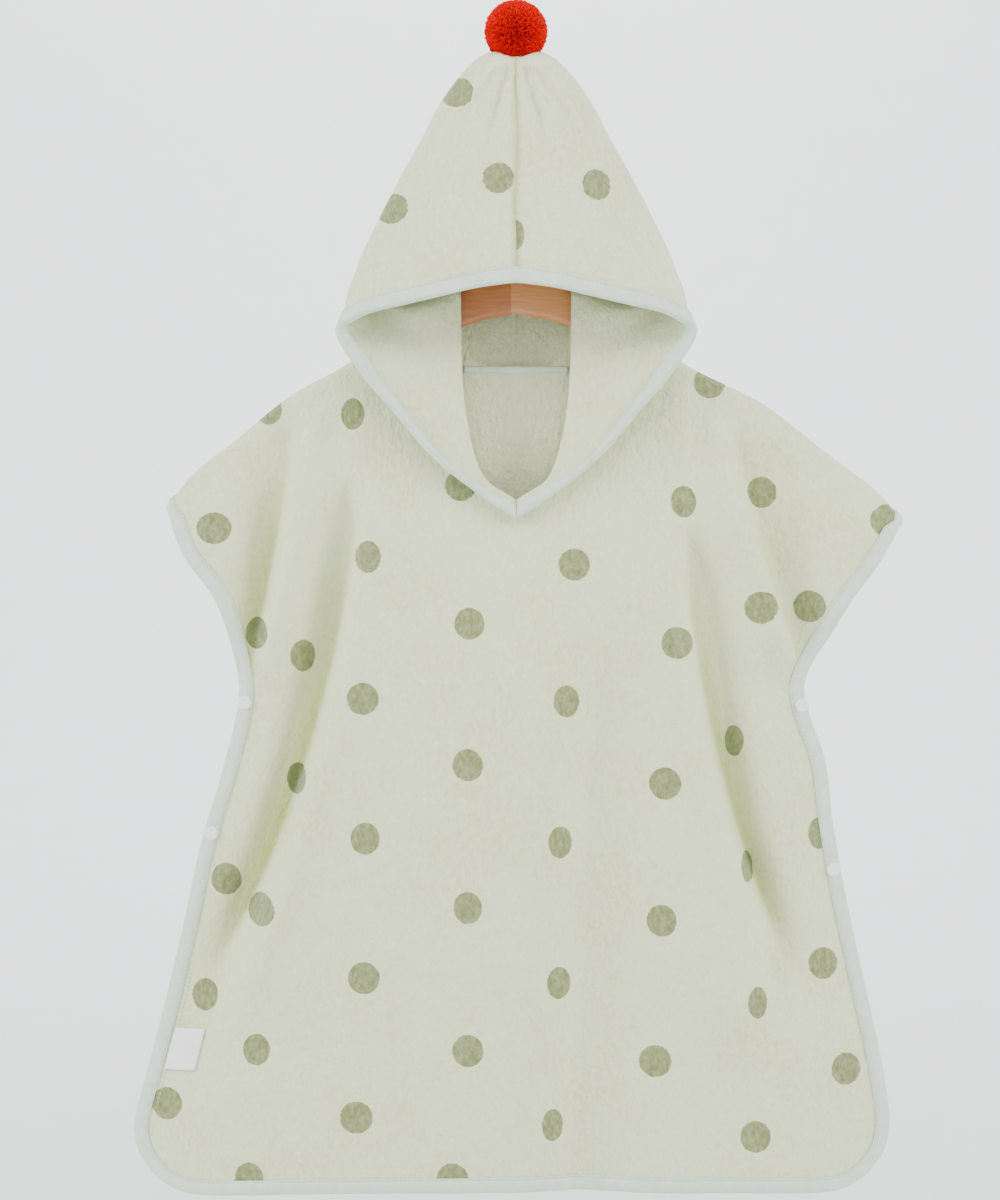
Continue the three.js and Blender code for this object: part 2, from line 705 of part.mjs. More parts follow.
function disc({ radius, thick, sides }, domed) {
  const rim = domed ? thick * 0.55 : thick;
  const profile = [
    new THREE.Vector2(0, 0),
    new THREE.Vector2(radius, 0),
    new THREE.Vector2(radius, rim),
    new THREE.Vector2(radius * 0.7, thick),
    new THREE.Vector2(0, thick),
  ];
  return new THREE.LatheGeometry(profile, sides);
}

// The pieces of one snap: a cap on each panel's bound edge and the socket between them.
function snapParts({ name, edge, z }) {
  const inside = BAND / 2;
  const x = edge === "left"
    ? lookUp(LEFT_SIDE, "z", z, "x") + inside
    : lookUp(RIGHT_SIDE, "z", z, "x") - inside;
  const up = new THREE.Vector3(0, 1, 0);
  const cap = (face, ending) => {
    const mesh = part(name + ending, disc(CAP, true), "snap");
    const way = wayOut(face, x, z);
    mesh.quaternion.setFromUnitVectors(up, way);
    mesh.position.copy(moved(middlePoint(face, x, z), way, HALF + GAP + TAPE + CAP.lift));
    return mesh;
  };
  const socket = part(name + "_socket", disc(SOCKET, false), "snap");
  socket.position.set(x, -SOCKET.thick / 2, z);
  return [cap("front", "_cap"), socket, cap("back", "_back_cap")];
}

// A yarn ball: a round core with a three-sided tapered lock standing on each facet.
function pompom() {
  const core = new THREE.IcosahedronGeometry(1, 2);
  const position = core.getAttribute("position");
  const points = [];
  const triangles = [];
  const keys = new Map();
  const addPoint = (p) => {
    points.push(p);
    return points.length - 1;
  };
  const shared = (p) => {
    const key = p.toArray().map((n) => n.toFixed(4)).join();
    if (!keys.has(key)) {
      keys.set(key, addPoint(p.clone().normalize().multiplyScalar(POMPOM_CORE)));
    }
    return keys.get(key);
  };
  for (let k = 0; k < position.count; k += 3) {
    const corners = [0, 1, 2].map((i) => new THREE.Vector3().fromBufferAttribute(position, k + i));
    const ring = corners.map(shared);
    const centre = corners[0].clone().add(corners[1]).add(corners[2]).normalize();
    if (centre.z < LOWEST_LOCK) {
      triangles.push(ring);
      continue;
    }
    const base = ring.map((i) => addPoint(
      points[i].clone().lerp(centre.clone().multiplyScalar(POMPOM_CORE), 1 - LOCK_ROOT)));
    const reach = POMPOM_RADIUS * (0.94 + 0.06 * Math.sin(k * 7.3));
    const tip = addPoint(centre.clone().multiplyScalar(reach));
    for (let i = 0; i < 3; i += 1) {
      const j = (i + 1) % 3;
      triangles.push([ring[i], ring[j], base[j]], [ring[i], base[j], base[i]]);
      triangles.push([base[i], base[j], tip]);
    }
  }
  const ball = closedBody(points, triangles);
  const mesh = part("pompom", ball, "yarn");
  mesh.position.set(0, POMPOM_CENTRE.y, POMPOM_CENTRE.z);
  return mesh;
}

// The hanger's bar: an eight-sided rounded section along the shoulder line.
function hangerBar() {
  const ends = 166;
  const steps = 26;
  const radius = WOOD_THICK / 2;
  const rings = [];
  for (let k = 0; k <= steps; k += 1) {
    const x = lerp(-ends, ends, k / steps);
    const top = shoulderZ(x) - WOOD_SEAT;
    const tall = lerp(36, 17, Math.abs(x) / ends);
    const ring = [];
    for (let a = 0; a < 8; a += 1) {
      const angle = (Math.PI / 4) * a;
      const middle = Math.sin(angle) >= -1e-9 ? top - radius : top - tall + radius;
      ring.push(new THREE.Vector3(x, radius * Math.cos(angle), middle + radius * Math.sin(angle)));
    }
    rings.push(ring);
  }
  return part("hanger_bar", lofted(rings), "wood");
}

function hangerHook() {
  const bend = HOOK_INSIDE + HOOK_ROD / 2;
  const centreZ = -HOOK_INSIDE;
  const foot = shoulderZ(0) - WOOD_SEAT + GAP;
  const points = [
    new THREE.Vector3(0, 0, foot),
    new THREE.Vector3(0, 0, foot + 8),
    new THREE.Vector3(0, 0, foot + 15),
    new THREE.Vector3(bend * 0.35, 0, centreZ - bend * 0.98),
  ];
  for (let angle = -45; angle <= HOOK_END_ANGLE; angle += 25) {
    const a = THREE.MathUtils.degToRad(angle);
    points.push(new THREE.Vector3(bend * Math.cos(a), 0, centreZ + bend * Math.sin(a)));
  }
  const path = new THREE.CatmullRomCurve3(points, false, "centripetal");
  const rod = new THREE.Shape();
  rod.absarc(0, 0, HOOK_ROD / 2, 0, Math.PI * 2);
  const geometry = new THREE.ExtrudeGeometry(rod, {
    extrudePath: path,
    steps: 28,
    curveSegments: 4,
    bevelEnabled: false,
  });
  return part("hanger_hook", geometry, "steel");
}

const poncho = new THREE.Group();
const frontPanel = panelSurface("front");
const backPanel = panelSurface("back");
const hoodRight = hoodSurface(1);
const hoodLeft = hoodSurface(-1);
poncho.add(part("front_panel", cloth(frontPanel), "terry"));
poncho.add(part("back_panel", cloth(backPanel), "terry"));
poncho.add(part("hood_left", cloth(hoodLeft), "terry"));
poncho.add(part("hood_right", cloth(hoodRight), "terry"));
poncho.add(part("front_binding", binding(panelEdgePairs(frontPanel), EDGE_GAP), "tape"));
poncho.add(part("back_binding", binding(panelEdgePairs(backPanel), EDGE_GAP), "tape"));
poncho.add(part("hood_binding", binding(hoodEdgePairs(hoodLeft, hoodRight), HOOD_GAP), "tape"));
poncho.add(part("neck_tape", neckTape(), "tape"));
poncho.add(part("label", label(), "label"));
poncho.add(pompom());
poncho.add(hangerBar());
poncho.add(hangerHook());
for (const snap of SNAPS) {
  poncho.add(...snapParts(snap));
}

export default poncho;
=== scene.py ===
import math
import random

import bpy
import numpy as np
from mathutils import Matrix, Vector


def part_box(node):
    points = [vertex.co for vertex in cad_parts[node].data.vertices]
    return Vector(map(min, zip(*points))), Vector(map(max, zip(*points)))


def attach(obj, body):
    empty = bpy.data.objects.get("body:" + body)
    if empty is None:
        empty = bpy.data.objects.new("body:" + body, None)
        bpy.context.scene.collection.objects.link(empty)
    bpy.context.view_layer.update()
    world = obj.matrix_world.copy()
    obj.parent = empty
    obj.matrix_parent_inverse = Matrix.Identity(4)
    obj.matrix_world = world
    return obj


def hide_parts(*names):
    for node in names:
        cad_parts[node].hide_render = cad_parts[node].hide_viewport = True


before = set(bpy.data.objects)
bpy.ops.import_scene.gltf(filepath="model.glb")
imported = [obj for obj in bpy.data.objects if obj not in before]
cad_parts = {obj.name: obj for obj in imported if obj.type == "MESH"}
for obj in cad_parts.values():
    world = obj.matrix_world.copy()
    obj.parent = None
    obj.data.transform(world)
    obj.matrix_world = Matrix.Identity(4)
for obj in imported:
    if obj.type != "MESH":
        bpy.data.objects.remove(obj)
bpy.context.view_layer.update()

# A child's hooded bath poncho on a wooden hanger. Tables are in millimetres, in the part's
# own frame: +Z up, the front faces -Y. Meshes are written in metres.
MM = 0.001

WALL = 2.6
HALF = WALL / 2
GAP = 0.3
TAPE = 1.0
BAND = 10.5
# How far a tape's face rises above its plain height, at shares of its width from inside
TAPE_RELIEF = {0: -0.35, 0.06: 0.05, 0.13: -0.3, 0.22: 0.15, 0.42: 0.75, 0.68: 0.7, 0.93: 0.1}
EDGE_GAP = 0.4
WOOD_THICK = 12
WOOD_SEAT = 2.5
BAR = {"ends": 166, "tip": 1.2, "middle_tall": 36, "end_tall": 17, "ridge": 44, "slope": 0.4}
RIDGE_TOP = -68
ROUND = WOOD_THICK / 2 + 2 * GAP + HALF
BULGE_DROP = 460
CROWN_WIDTH = 330
SNAPPED = HALF + GAP + TAPE + 1.0
SIDE_SWELL = 75
# How near the wall's middle comes to the garment's middle plane, and how softly it stops
FLOOR = 2.4
FLOOR_BEND = 3
SIDE_CLOSES = (-330, -400)
SIDE = {"front": -1, "back": 1}
BULGE = {"front": 24, "back": 13}
CELLS = {"front": (200, 165), "back": (130, 130)}

SHOULDER = [
    (-277, -262), (-257, -236), (-222, -208), (-187, -179), (-165, -165), (-137, -150),
    (-90, -116), (-44, -85), (0, -68), (44, -85), (90, -116), (137, -150), (167, -165),
    (198, -181), (243, -216), (286, -249), (307, -273),
]
NECK = {
    "front": [(44, -85), (43.8, -105), (43.5, -135), (42, -175), (36, -209), (28, -234),
              (16, -252), (0, -262)],
    "back": [(44, -85), (43.5, -108), (40, -134), (30, -146), (15, -149), (0, -149)],
}
NECK_CENTRE = (0, -60)
NECK_CORNER_WAY = (0.35, -0.94)
SIDE_FADE = 7
LEFT_SIDE = [
    (-277, -262), (-264, -299), (-239, -334), (-227, -368), (-220, -410), (-232, -468),
    (-250, -529), (-264, -593), (-280, -661), (-294, -714), (-303, -748),
]
RIGHT_SIDE = [
    (307, -273), (285, -310), (266, -335), (250, -362), (229, -404), (246, -466),
    (252, -515), (262, -572), (276, -637), (291, -706), (297, -746),
]
CORNER_RADIUS = 50
CORNERS = {"left": (-254, -756), "right": (247, -754)}
HEM = {
    "front": [(-254, -806), (-130, -803), (0, -800), (80, -803), (160, -803), (247, -804)],
    "back": [(-254, -806), (-130, -803), (0, -800), (90, -808), (165, -811), (247, -804)],
}

# Folds: middle x at three heights, the heights, left and right reach, how far out, fade
FOLDS = {
    "front": [
        ((-160, -180, -206), (-200, -320, -440), 12, 30, 8, 60),
        ((-186, -206, -226), (-205, -320, -420), 24, 12, -7, 40),
        ((-236, -240, -236), (-225, -310, -430), 44, 34, 8, 40),
        ((-128, -168, -256), (-230, -440, -680), 22, 13, -14, 70),
        ((-104, -142, -226), (-230, -440, -700), 14, 48, 8, 80),
        ((30, 8, -6), (-290, -560, -1000), 90, 26, 9, 150),
        ((76, 58, 54), (-300, -560, -1000), 24, 52, -13, 150),
        ((116, 146, 190), (-270, -480, -720), 46, 14, 7, 80),
        ((138, 172, 226), (-270, -480, -700), 14, 26, -13, 80),
        ((158, 198, 222), (-210, -320, -430), 30, 12, 8, 60),
        ((186, 218, 238), (-205, -320, -420), 12, 24, -7, 40),
        ((262, 262, 250), (-235, -310, -430), 34, 44, 8, 40),
    ],
    "back": [
        ((-230, -232, -232), (-225, -310, -430), 44, 40, 4, 50),
        ((250, 252, 248), (-235, -310, -430), 40, 44, 4, 50),
        ((-150, -168, -215), (-210, -420, -760), 34, 24, -5, 90),
        ((-70, -78, -90), (-260, -560, -1000), 40, 40, 7, 160),
        ((0, 6, 14), (-320, -600, -1000), 36, 36, -5, 160),
        ((72, 84, 104), (-240, -540, -1000), 44, 36, 7, 160),
        ((150, 176, 222), (-210, -430, -760), 24, 34, -5, 90),
    ],
}

# The deep troughs beside the front's long folds: as the folds, then how much painted shade they get
TROUGHS = {
    "front": [
        ((-136, -160, -252), (-215, -430, -650), 19, 5, -13.0, 90, 1.0),
        ((-122, -143, -232), (-200, -420, -660), 6, 18, 5.0, 80, 0),
        ((-178, -195, -219), (-185, -300, -415), 17, 4, -11.0, 40, 0.85),
        ((-164, -182, -207), (-172, -300, -415), 5, 10, 5.0, 40, 0),
        ((136, 160, 226), (-250, -450, -645), 5, 15, -12.0, 90, 0.9),
        ((125, 148, 208), (-230, -440, -650), 16, 6, 5.0, 80, 0),
        ((170, 201, 232), (-192, -307, -400), 4, 16, -9.0, 40, 0.42),
        ((160, 190, 222), (-180, -300, -400), 10, 5, 4.5, 40, 0),
    ],
    "back": [],
}

# Finer creases of the hanging cloth, in the same columns as the folds
CREASES = {
    "front": [
        ((-244, -252, -262), (-640, -700, -770), 7, 9, -3.5, 40),
        ((-150, -166, -178), (-168, -230, -330), 6, 10, 2.2, 30),
        ((-182, -196, -205), (-188, -240, -330), 8, 7, -2.0, 30),
        ((-120, -126, -134), (-140, -200, -300), 12, 9, 1.6, 40),
        ((-92, -84, -76), (-270, -420, -560), 20, 16, 1.4, 70),
        ((-150, -186, -240), (-430, -560, -700), 9, 12, 2.4, 60),
        ((-40, -44, -52), (-520, -680, -1000), 24, 20, 1.3, 90),
        ((36, 34, 30), (-560, -700, -1000), 10, 14, 1.8, 90),
        ((104, 112, 122), (-540, -690, -1000), 16, 20, 1.6, 90),
        ((150, 164, 176), (-178, -240, -330), 9, 6, 2.2, 30),
        ((128, 134, 142), (-150, -220, -310), 9, 12, 1.5, 40),
        ((206, 222, 232), (-200, -270, -350), 7, 8, -1.8, 30),
        ((176, 206, 240), (-480, -600, -720), 12, 9, 2.4, 60),
        ((-232, -250, -268), (-560, -640, -720), 10, 10, 1.5, 50),
    ],
    "back": [
        ((-160, -172, -186), (-175, -240, -360), 10, 12, 2.0, 40),
        ((-30, -26, -34), (-200, -330, -520), 14, 12, -1.6, 60),
        ((38, 40, 36), (-190, -300, -480), 12, 16, 1.6, 60),
        ((160, 176, 190), (-178, -250, -370), 12, 10, 2.0, 40),
        ((-130, -150, -170), (-480, -640, -1000), 16, 16, 1.8, 90),
        ((130, 150, 172), (-500, -660, -1000), 16, 16, 1.8, 90),
    ],
}

# Sections of one hood half: which panel the neck place is on, that place (x, z), and the
# points back, crest back, crest front, front and face edge (x, y, z)
HOOD = [
    ("back", (0, -152), (0, 28, -62), (0, 8, 97), (0, -13, 97), (0, -37, 8), (0, -62, -87)),
    ("back", (15, -152), (32, 28, -63), (25, 8, 95), (25, -13, 95), (28, -36, 2), (30, -61, -91)),
    ("back", (30, -149), (60, 25, -67), (54, 7, 66), (54, -13, 65), (54, -35, -14),
     (57, -59, -97)),
    ("back", (41, -136), (82, 20, -74), (80, 7, 21), (80, -14, 19), (80, -34, -38),
     (84, -56, -103)),
    ("back", (44, -108), (98, 16, -84), (102, 6, -20), (103, -15, -23), (103, -35, -62),
     (108, -52, -108)),
    ("back", (44, -93), (99, 12, -87), (111, 5, -38), (112, -15, -42), (113, -35, -74),
     (116, -50, -110)),
    ("front", (44, -85), (98, 6, -91), (120, 3, -58), (121, -15, -61), (122, -34, -86),
     (124, -47, -113)),
    ("front", (44, -93), (96, -5, -98), (125, 0, -75), (127, -17, -78), (128, -33, -97),
     (130, -44, -116)),
    ("front", (43.8, -100), (90, -15, -106), (128, -4, -90), (132, -18, -93), (134, -32, -106),
     (135, -42, -118)),
    ("front", (43.5, -125), (82, -15, -124), (110, -19, -122), (125, -24, -122),
     (133, -31, -123), (140, -38, -125)),
    ("front", (43, -152), (66, -18, -150), (86, -22, -149), (102, -26, -150), (114, -30, -151),
     (124, -35, -153)),
    ("front", (38, -200), (52, -20, -197), (64, -22, -194), (76, -25, -191), (87, -28, -188),
     (97, -32, -185)),
    ("front", (25, -240), (33, -21, -237), (40, -23, -235), (46, -25, -232.5), (52, -26.6, -230),
     (61, -29, -226)),
    ("front", (0.3, -258), (0.3, -22.9, -258.6), (0.3, -23, -259.2), (0.3, -23.1, -259.8),
     (0.3, -23.2, -260.6), (0.3, -25, -271)),
]
HOOD_STEPS = 6
# How far each hood half's middle stays from the garment's centre plane at the seam
SEAM_GAP = 0.02
# How much painted yellow-green shade lies along the hood's centre seam
SEAM_PAINTED_SHADE = 0.6
HOOD_ACROSS = 64
HOOD_TAPE_GAP = 0.8
NECK_LAP = 1.6

# Dots of the front, column by column from the left: places (x, z) and half widths
DOT_RADIUS = 13
FRONT_DOTS = [
    (-240, -279, 14), (-197, -184, 11),
    (-206, -362, 10), (-231, -558, 12), (-247, -650, 11), (-278, -737, 13),
    (-170, -380, 10), (-174, -478, 9), (-201, -581, 12), (-205, -691, 11), (-211, -793, 12),
    (-130, -188, 9.5), (-117, -302, 10), (-121, -414, 13), (-119, -524, 12), (-120, -634, 13),
    (-126, -744, 13.5),
    (-44, -245, 13), (-37, -355, 12.5), (-38, -466, 12.5), (-38, -578, 11.5), (-38, -690, 12.5),
    (-50, -791, 13),
    (46, -308, 13), (39, -416, 10.5), (34, -527, 9.5), (33, -638, 9.5), (28, -750, 8.5),
    (133, -258, 10.5), (127, -370, 12.5), (118, -481, 13), (115, -589, 12), (110, -700, 13),
    (154, -163, 13), (196, -250, 12.5), (194, -342, 13), (174, -448, 8), (183, -548, 6),
    (190, -654, 8), (189, -760, 12.5),
    (294, -273, 13.5), (234, -341, 13), (242, -522, 10), (244, -625, 12), (262, -709, 12.5),
]
HOOD_DOTS = [
    (-46, 66, 13), (-97, -27, 13), (-14, -5, 13), (63, -9, 12), (0.5, -51, 6), (-138, -116, 6),
]
DOT_PITCH = (82, 111)
# A distance from any dot's middle that is far outside it
NO_DOT = 9.0
# Where the repeat starts on the back panel
BACK_START = (-30, -60)

# Where the repeat starts on the back of each hood half
HOOD_BACK_START = {"hood_right": (34, -30), "hood_left": (-22, 12)}

VENT = {"top": -631, "bottom": -740, "inside": 15}

# Gathers of the hood under its tip: place across over the drop, half width, how far out
GATHERS = [(0.12, 0.07, 2.6), (0.27, 0.045, -3.4), (0.42, 0.07, 3.4), (0.6, 0.05, -2.8),
           (0.8, 0.08, 2.4)]

# The snap cap's section: radius and height
CAP_PROFILE = [(0.2, -0.95), (5.3, -0.95), (5.5, -0.6), (5.5, 0.1), (5.2, 0.55), (4.2, 0.78),
               (3.2, 0.72), (2.0, 0.45), (0.2, 0.4)]
LABEL = {"wide": 25, "top": -677, "bottom": -710, "start": 13, "thick": 0.8, "lift": 0.7}
NECK_TAPE = {"reach": 42, "tall": 5}
# How far across a tape the stitches run, from its edge on the cloth to its fold
STITCH_PLACE = 0.12
POMPOM = {"centre": (0, -3, 118.0), "radius": 24.6, "core": 17.5, "strands": 7000}

COLOURS = {
    "terry": (229, 235, 196),
    "terry_deep": (206, 214, 156),
    "dot": (154, 163, 116),
    "dot_deep": (118, 128, 80),
    # Painted shade colours for the deepest troughs and the hood's centre seam, on plain cloth and on
    # dots
    "trough": (160, 174, 88),
    "trough_dot": (84, 96, 48),
    "tape": (218, 232, 214),
    "yarn": (226, 0, 0),
    "wood": (214, 142, 84),
    # Painted shade for the left half of the hanger bar
    "wood_painted_shade": (160, 92, 44),
}


def lerp(a, b, k):
    return a + (b - a) * k


def smooth(k):
    c = np.clip(k, 0, 1)
    return c * c * (3 - 2 * c)


def spline_span(p0, p1, p2, p3, w):
    """Points at shares w between p1 and p2 of a smooth centripetal curve."""
    d0, d1, d2 = [np.linalg.norm(b - a) ** 0.5 for a, b in ((p0, p1), (p1, p2), (p2, p3))]
    d1 = max(d1, 1e-4)
    d0 = d0 if d0 > 1e-4 else d1
    d2 = d2 if d2 > 1e-4 else d1
    t1 = ((p1 - p0) / d0 - (p2 - p0) / (d0 + d1) + (p2 - p1) / d1) * d1
    t2 = ((p2 - p1) / d1 - (p3 - p1) / (d1 + d2) + (p3 - p2) / d2) * d1
    w = np.atleast_1d(w)[:, None]
    return (p1 + t1 * w + (3 * (p2 - p1) - 2 * t1 - t2) * w ** 2
            + (2 * (p1 - p2) + t1 + t2) * w ** 3)


def smooth_curve(points, shares):
    """Points of a smooth curve through points, at shares from 0 to 1."""
    p = np.array(points, float)
    last = len(p) - 1
    p = np.concatenate([[2 * p[0] - p[1]], p, [2 * p[-1] - p[-2]]])
    at = np.clip(np.atleast_1d(shares), 0, 1 - 1e-9) * last
    out = np.zeros((len(at), p.shape[1]))
    for i in range(last):
        mine = (at >= i) & (at < i + 1)
        out[mine] = spline_span(*p[i:i + 4], at[mine] - i)
    return out


def curve_points(points, per_span=24):
    return smooth_curve(points, np.linspace(0, 1, (len(points) - 1) * per_span + 1))


def path_length(points):
    dense = curve_points(points)
    return float(np.linalg.norm(np.diff(dense, axis=0), axis=1).sum())


def along(points, distances):
    dense = curve_points(points)
    run = np.concatenate([[0], np.cumsum(np.linalg.norm(np.diff(dense, axis=0), axis=1))])
    d = np.clip(distances, 0, run[-1])
    return np.stack([np.interp(d, run, dense[:, 0]), np.interp(d, run, dense[:, 1])], axis=-1)


shoulder_line = curve_points(SHOULDER)


def shoulder_z(x):
    return np.interp(x, shoulder_line[:, 0], shoulder_line[:, 1])


def side_x(side, z):
    table = np.array(side)[::-1]
    return np.interp(z, table[:, 1], table[:, 0])


def fold_out(fold, x, z):
    xs, zs, left, right, out, fade = fold
    k = np.clip((zs[0] - z) / (zs[0] - zs[2]), 0, 1)
    m = (zs[0] - zs[1]) / (zs[0] - zs[2])
    bend = (xs[1] - lerp(xs[0], xs[2], m)) / (m * (1 - m))
    off = x - (lerp(xs[0], xs[2], k) + bend * k * (1 - k))
    reach = np.where(off < 0, left, right)
    starts, ends = smooth((zs[0] - z) / fade), smooth((z - zs[2]) / fade)
    return out * np.exp(-((off / reach) ** 2)) * starts * ends


def stand_out(face, x, z):
    """How far the middle of a panel's wall stands from the garment's middle plane."""
    x, z = np.asarray(x, float), np.asarray(z, float)
    drop = np.maximum(0, shoulder_z(x) - z)
    over_arm = np.sqrt(np.maximum(0, ROUND ** 2 - np.maximum(0, ROUND - drop) ** 2))
    crown = 0.45 + 0.55 * np.cos((np.pi / 2) * (x / CROWN_WIDTH))
    out = np.maximum(GAP / 2, over_arm) + BULGE[face] * smooth(drop / BULGE_DROP) * crown
    for fold in FOLDS[face]:
        out = out + fold_out(fold, x, z)
    inside = np.minimum(x - side_x(LEFT_SIDE, z), side_x(RIGHT_SIDE, z) - x)
    fine = sum(fold_out(fold, x, z) for fold in CREASES[face])
    fine = fine + sum(fold_out(trough[:6], x, z) for trough in TROUGHS[face])
    creased = out + fine * smooth((inside - BAND) / 30) * smooth((drop - ROUND) / 20)
    over = creased - FLOOR
    kept_off = FLOOR + (over + np.sqrt(over ** 2 + FLOOR_BEND ** 2)) / 2
    out = lerp(out, kept_off, smooth((drop - ROUND) / 12))
    closing = smooth((SIDE_CLOSES[0] - z) / (SIDE_CLOSES[0] - SIDE_CLOSES[1]))
    return lerp(out, lerp(SNAPPED, np.maximum(out, SNAPPED), smooth(inside / SIDE_SWELL)), closing)


def middle_points(face, x, z):
    x, z = np.asarray(x, float), np.asarray(z, float)
    return np.stack([x, SIDE[face] * stand_out(face, x, z), z], axis=-1)


def unit(v):
    return v / np.maximum(1e-9, np.linalg.norm(v, axis=-1, keepdims=True))


def ways_out(face, x, z):
    """The way out of a panel at places of its middle surface."""
    x, z = np.asarray(x, float), np.asarray(z, float)
    h = 0.4
    by_x = (stand_out(face, x + h, z) - stand_out(face, x - h, z)) / (2 * h)
    by_z = (stand_out(face, x, z + h) - stand_out(face, x, z - h)) / (2 * h)
    way = np.stack([-by_x, np.full_like(by_x, SIDE[face]), -by_z], axis=-1)
    slope = shoulder_z(x - h) - shoulder_z(x + h)
    top = np.stack([slope, np.zeros_like(slope), np.full_like(slope, 2 * h)], axis=-1)
    on_top = (shoulder_z(x) - z < 0.01)[..., None]
    return unit(np.where(on_top, top, way))


def grid_ways(points):
    down = np.gradient(points, axis=0)
    across = np.gradient(points, axis=1)
    return unit(np.cross(across, down))


def corner_arc(corner, start, end):
    angles = np.radians(np.linspace(start, end, 7))
    return [(corner[0] + CORNER_RADIUS * math.cos(a), corner[1] + CORNER_RADIUS * math.sin(a))
            for a in angles]


def row_distances(length, rows):
    arm = [ROUND * (1 - math.cos(math.pi / 2 * k / 5)) for k in range(6)]
    rest = np.linspace(ROUND, length - BAND, rows - len(arm) + 1)[1:]
    return np.array([*arm, *rest, length])


def top_line(face):
    """The top edge from sleeve tip to sleeve tip, and how far along it the neck lies."""
    neck_x = NECK[face][0][0]
    left = [(x, shoulder_z(x)) for x in np.linspace(SHOULDER[0][0], -neck_x, 120)]
    right = [(x, shoulder_z(x)) for x in np.linspace(neck_x, SHOULDER[-1][0], 120)]
    neck = curve_points(NECK[face])
    line = np.concatenate([left, neck[1:] * [-1, 1], neck[-2:0:-1], right])
    run = np.concatenate([[0], np.cumsum(np.linalg.norm(np.diff(line, axis=0), axis=1))])
    return line, run, run[len(left) - 1], run[-len(right)]


def column_places(face):
    """Top places of a panel's columns and their shares of the top edge."""
    line, run, start, end = top_line(face)
    total = run[-1]
    neck_steps = int(CELLS[face][0] * (end - start) / total)
    side_steps = (CELLS[face][0] - neck_steps) // 2
    arm = np.array([0.7, 2.3, 4.8, 7.9])
    at = np.concatenate([[0], np.linspace(BAND, start, side_steps), start + arm,
                         np.linspace(start + arm[-1], end - arm[-1], neck_steps)[1:-1],
                         end - arm[::-1], np.linspace(end, total - BAND, side_steps), [total]])
    places = np.stack([np.interp(at, run, line[:, k]) for k in (0, 1)], axis=-1)
    return places, at / total, (at > start + 1e-6) & (at < end - 1e-6)


def inset(path, distance, turn):
    way = unit(np.gradient(path, axis=0))
    return path + turn * distance * np.stack([-way[:, 1], way[:, 0]], axis=-1)


def panel_places(face):
    """The places (x, z) of a panel's grid: an edge band, rows over the arm, an even blend."""
    left_path = [*LEFT_SIDE, *corner_arc(CORNERS["left"], 180, 225)]
    right_path = [*RIGHT_SIDE, *corner_arc(CORNERS["right"], 0, -45)]
    hem_path = [*corner_arc(CORNERS["left"], 225, 270), *HEM[face][1:-1],
                *corner_arc(CORNERS["right"], -90, -45)]
    rows = CELLS[face][1]
    left = along(left_path, row_distances(path_length(left_path), rows))
    right = along(right_path, row_distances(path_length(right_path), rows))
    top, shares, in_neck = column_places(face)
    hem = along(hem_path, shares * path_length(hem_path))
    rows, columns = len(left) - 1, len(shares) - 1
    grid = np.zeros((rows + 1, columns + 1, 2))
    arm_rows = 6
    below = row_distances(path_length(left_path), rows)[:arm_rows]
    way = ways_down(face, top, in_neck)
    for r in range(arm_rows):
        grid[r] = top + way * below[r]
    grid[arm_rows:, 1] = inset(left, BAND, 1)[arm_rows:]
    grid[arm_rows:, -2] = inset(right, BAND, -1)[arm_rows:]
    grid[:, 0], grid[:, -1] = left, right
    grid[-2, 1:-1] = inset(hem, BAND, 1)[1:-1]
    grid[-1] = hem
    corner = BAND * math.sqrt(0.5)
    grid[-2, 1] = hem[0] + np.array([corner, corner])
    grid[-2, -2] = hem[-1] + np.array([-corner, corner])
    return fill_inside(grid, shares, arm_rows - 1)


def ways_down(face, top, in_neck):
    """The way each column leaves the top edge: down, turning outwards round the neck."""
    turn = np.stack([np.sign(top[:, 0]) * NECK_CORNER_WAY[0],
                     np.full(len(top), NECK_CORNER_WAY[1])], axis=-1)
    corner = np.array([np.sign(p[0]) * NECK[face][0][0] for p in top])
    away = np.linalg.norm(top - np.stack([corner, np.full(len(top), NECK[face][0][1])], axis=-1),
                          axis=-1)[:, None]
    around = lerp(turn, unit(top - np.array(NECK_CENTRE)), smooth(away / 45))
    beside = lerp(turn, np.array([0.0, -1.0]), smooth(away / 30))
    return unit(np.where(in_neck[:, None], around, beside))


def fill_inside(grid, shares, top):
    """Fills the grid between its edge bands; the sides' bends fade out towards the middle."""
    inner = grid[top:-1, 1:-1]
    v = np.linspace(0, 1, inner.shape[0])[:, None, None]
    u = ((shares[1:-1] - shares[1]) / (shares[-2] - shares[1]))[None, :, None]
    straight = (1 - v) * inner[:1] + v * inner[-1:]
    bends = inner - straight
    filled = straight + (1 - u) ** SIDE_FADE * bends[:, :1] + u ** SIDE_FADE * bends[:, -1:]
    inner[1:-1, 1:-1] = filled[1:-1, 1:-1]
    return grid


def new_object(name, points, faces, closed_check=True):
    mesh = bpy.data.meshes.new(name)
    mesh.from_pydata([tuple(p) for p in np.asarray(points) * MM], [], faces)
    mesh.update()
    obj = bpy.data.objects.new(name, mesh)
    bpy.context.scene.collection.objects.link(obj)
    mesh.shade_smooth()
    if closed_check and signed_volume(mesh) < 0:
        mesh.flip_normals()
    return obj


def signed_volume(mesh):
    mesh.calc_loop_triangles()
    co = np.array([v.co for v in mesh.vertices])
    tri = np.array([t.vertices[:] for t in mesh.loop_triangles])
    a, b, c = co[tri[:, 0]], co[tri[:, 1]], co[tri[:, 2]]
    return float((a * np.cross(b, c)).sum())


def grid_faces(rows, columns, start, turned):
    r, c = np.meshgrid(np.arange(rows - 1), np.arange(columns - 1), indexing="ij")
    a = (start + r * columns + c).ravel()
    quads = np.stack([a, a + 1, a + columns + 1, a + columns], axis=-1)
    return (quads[:, ::-1] if turned else quads).tolist()


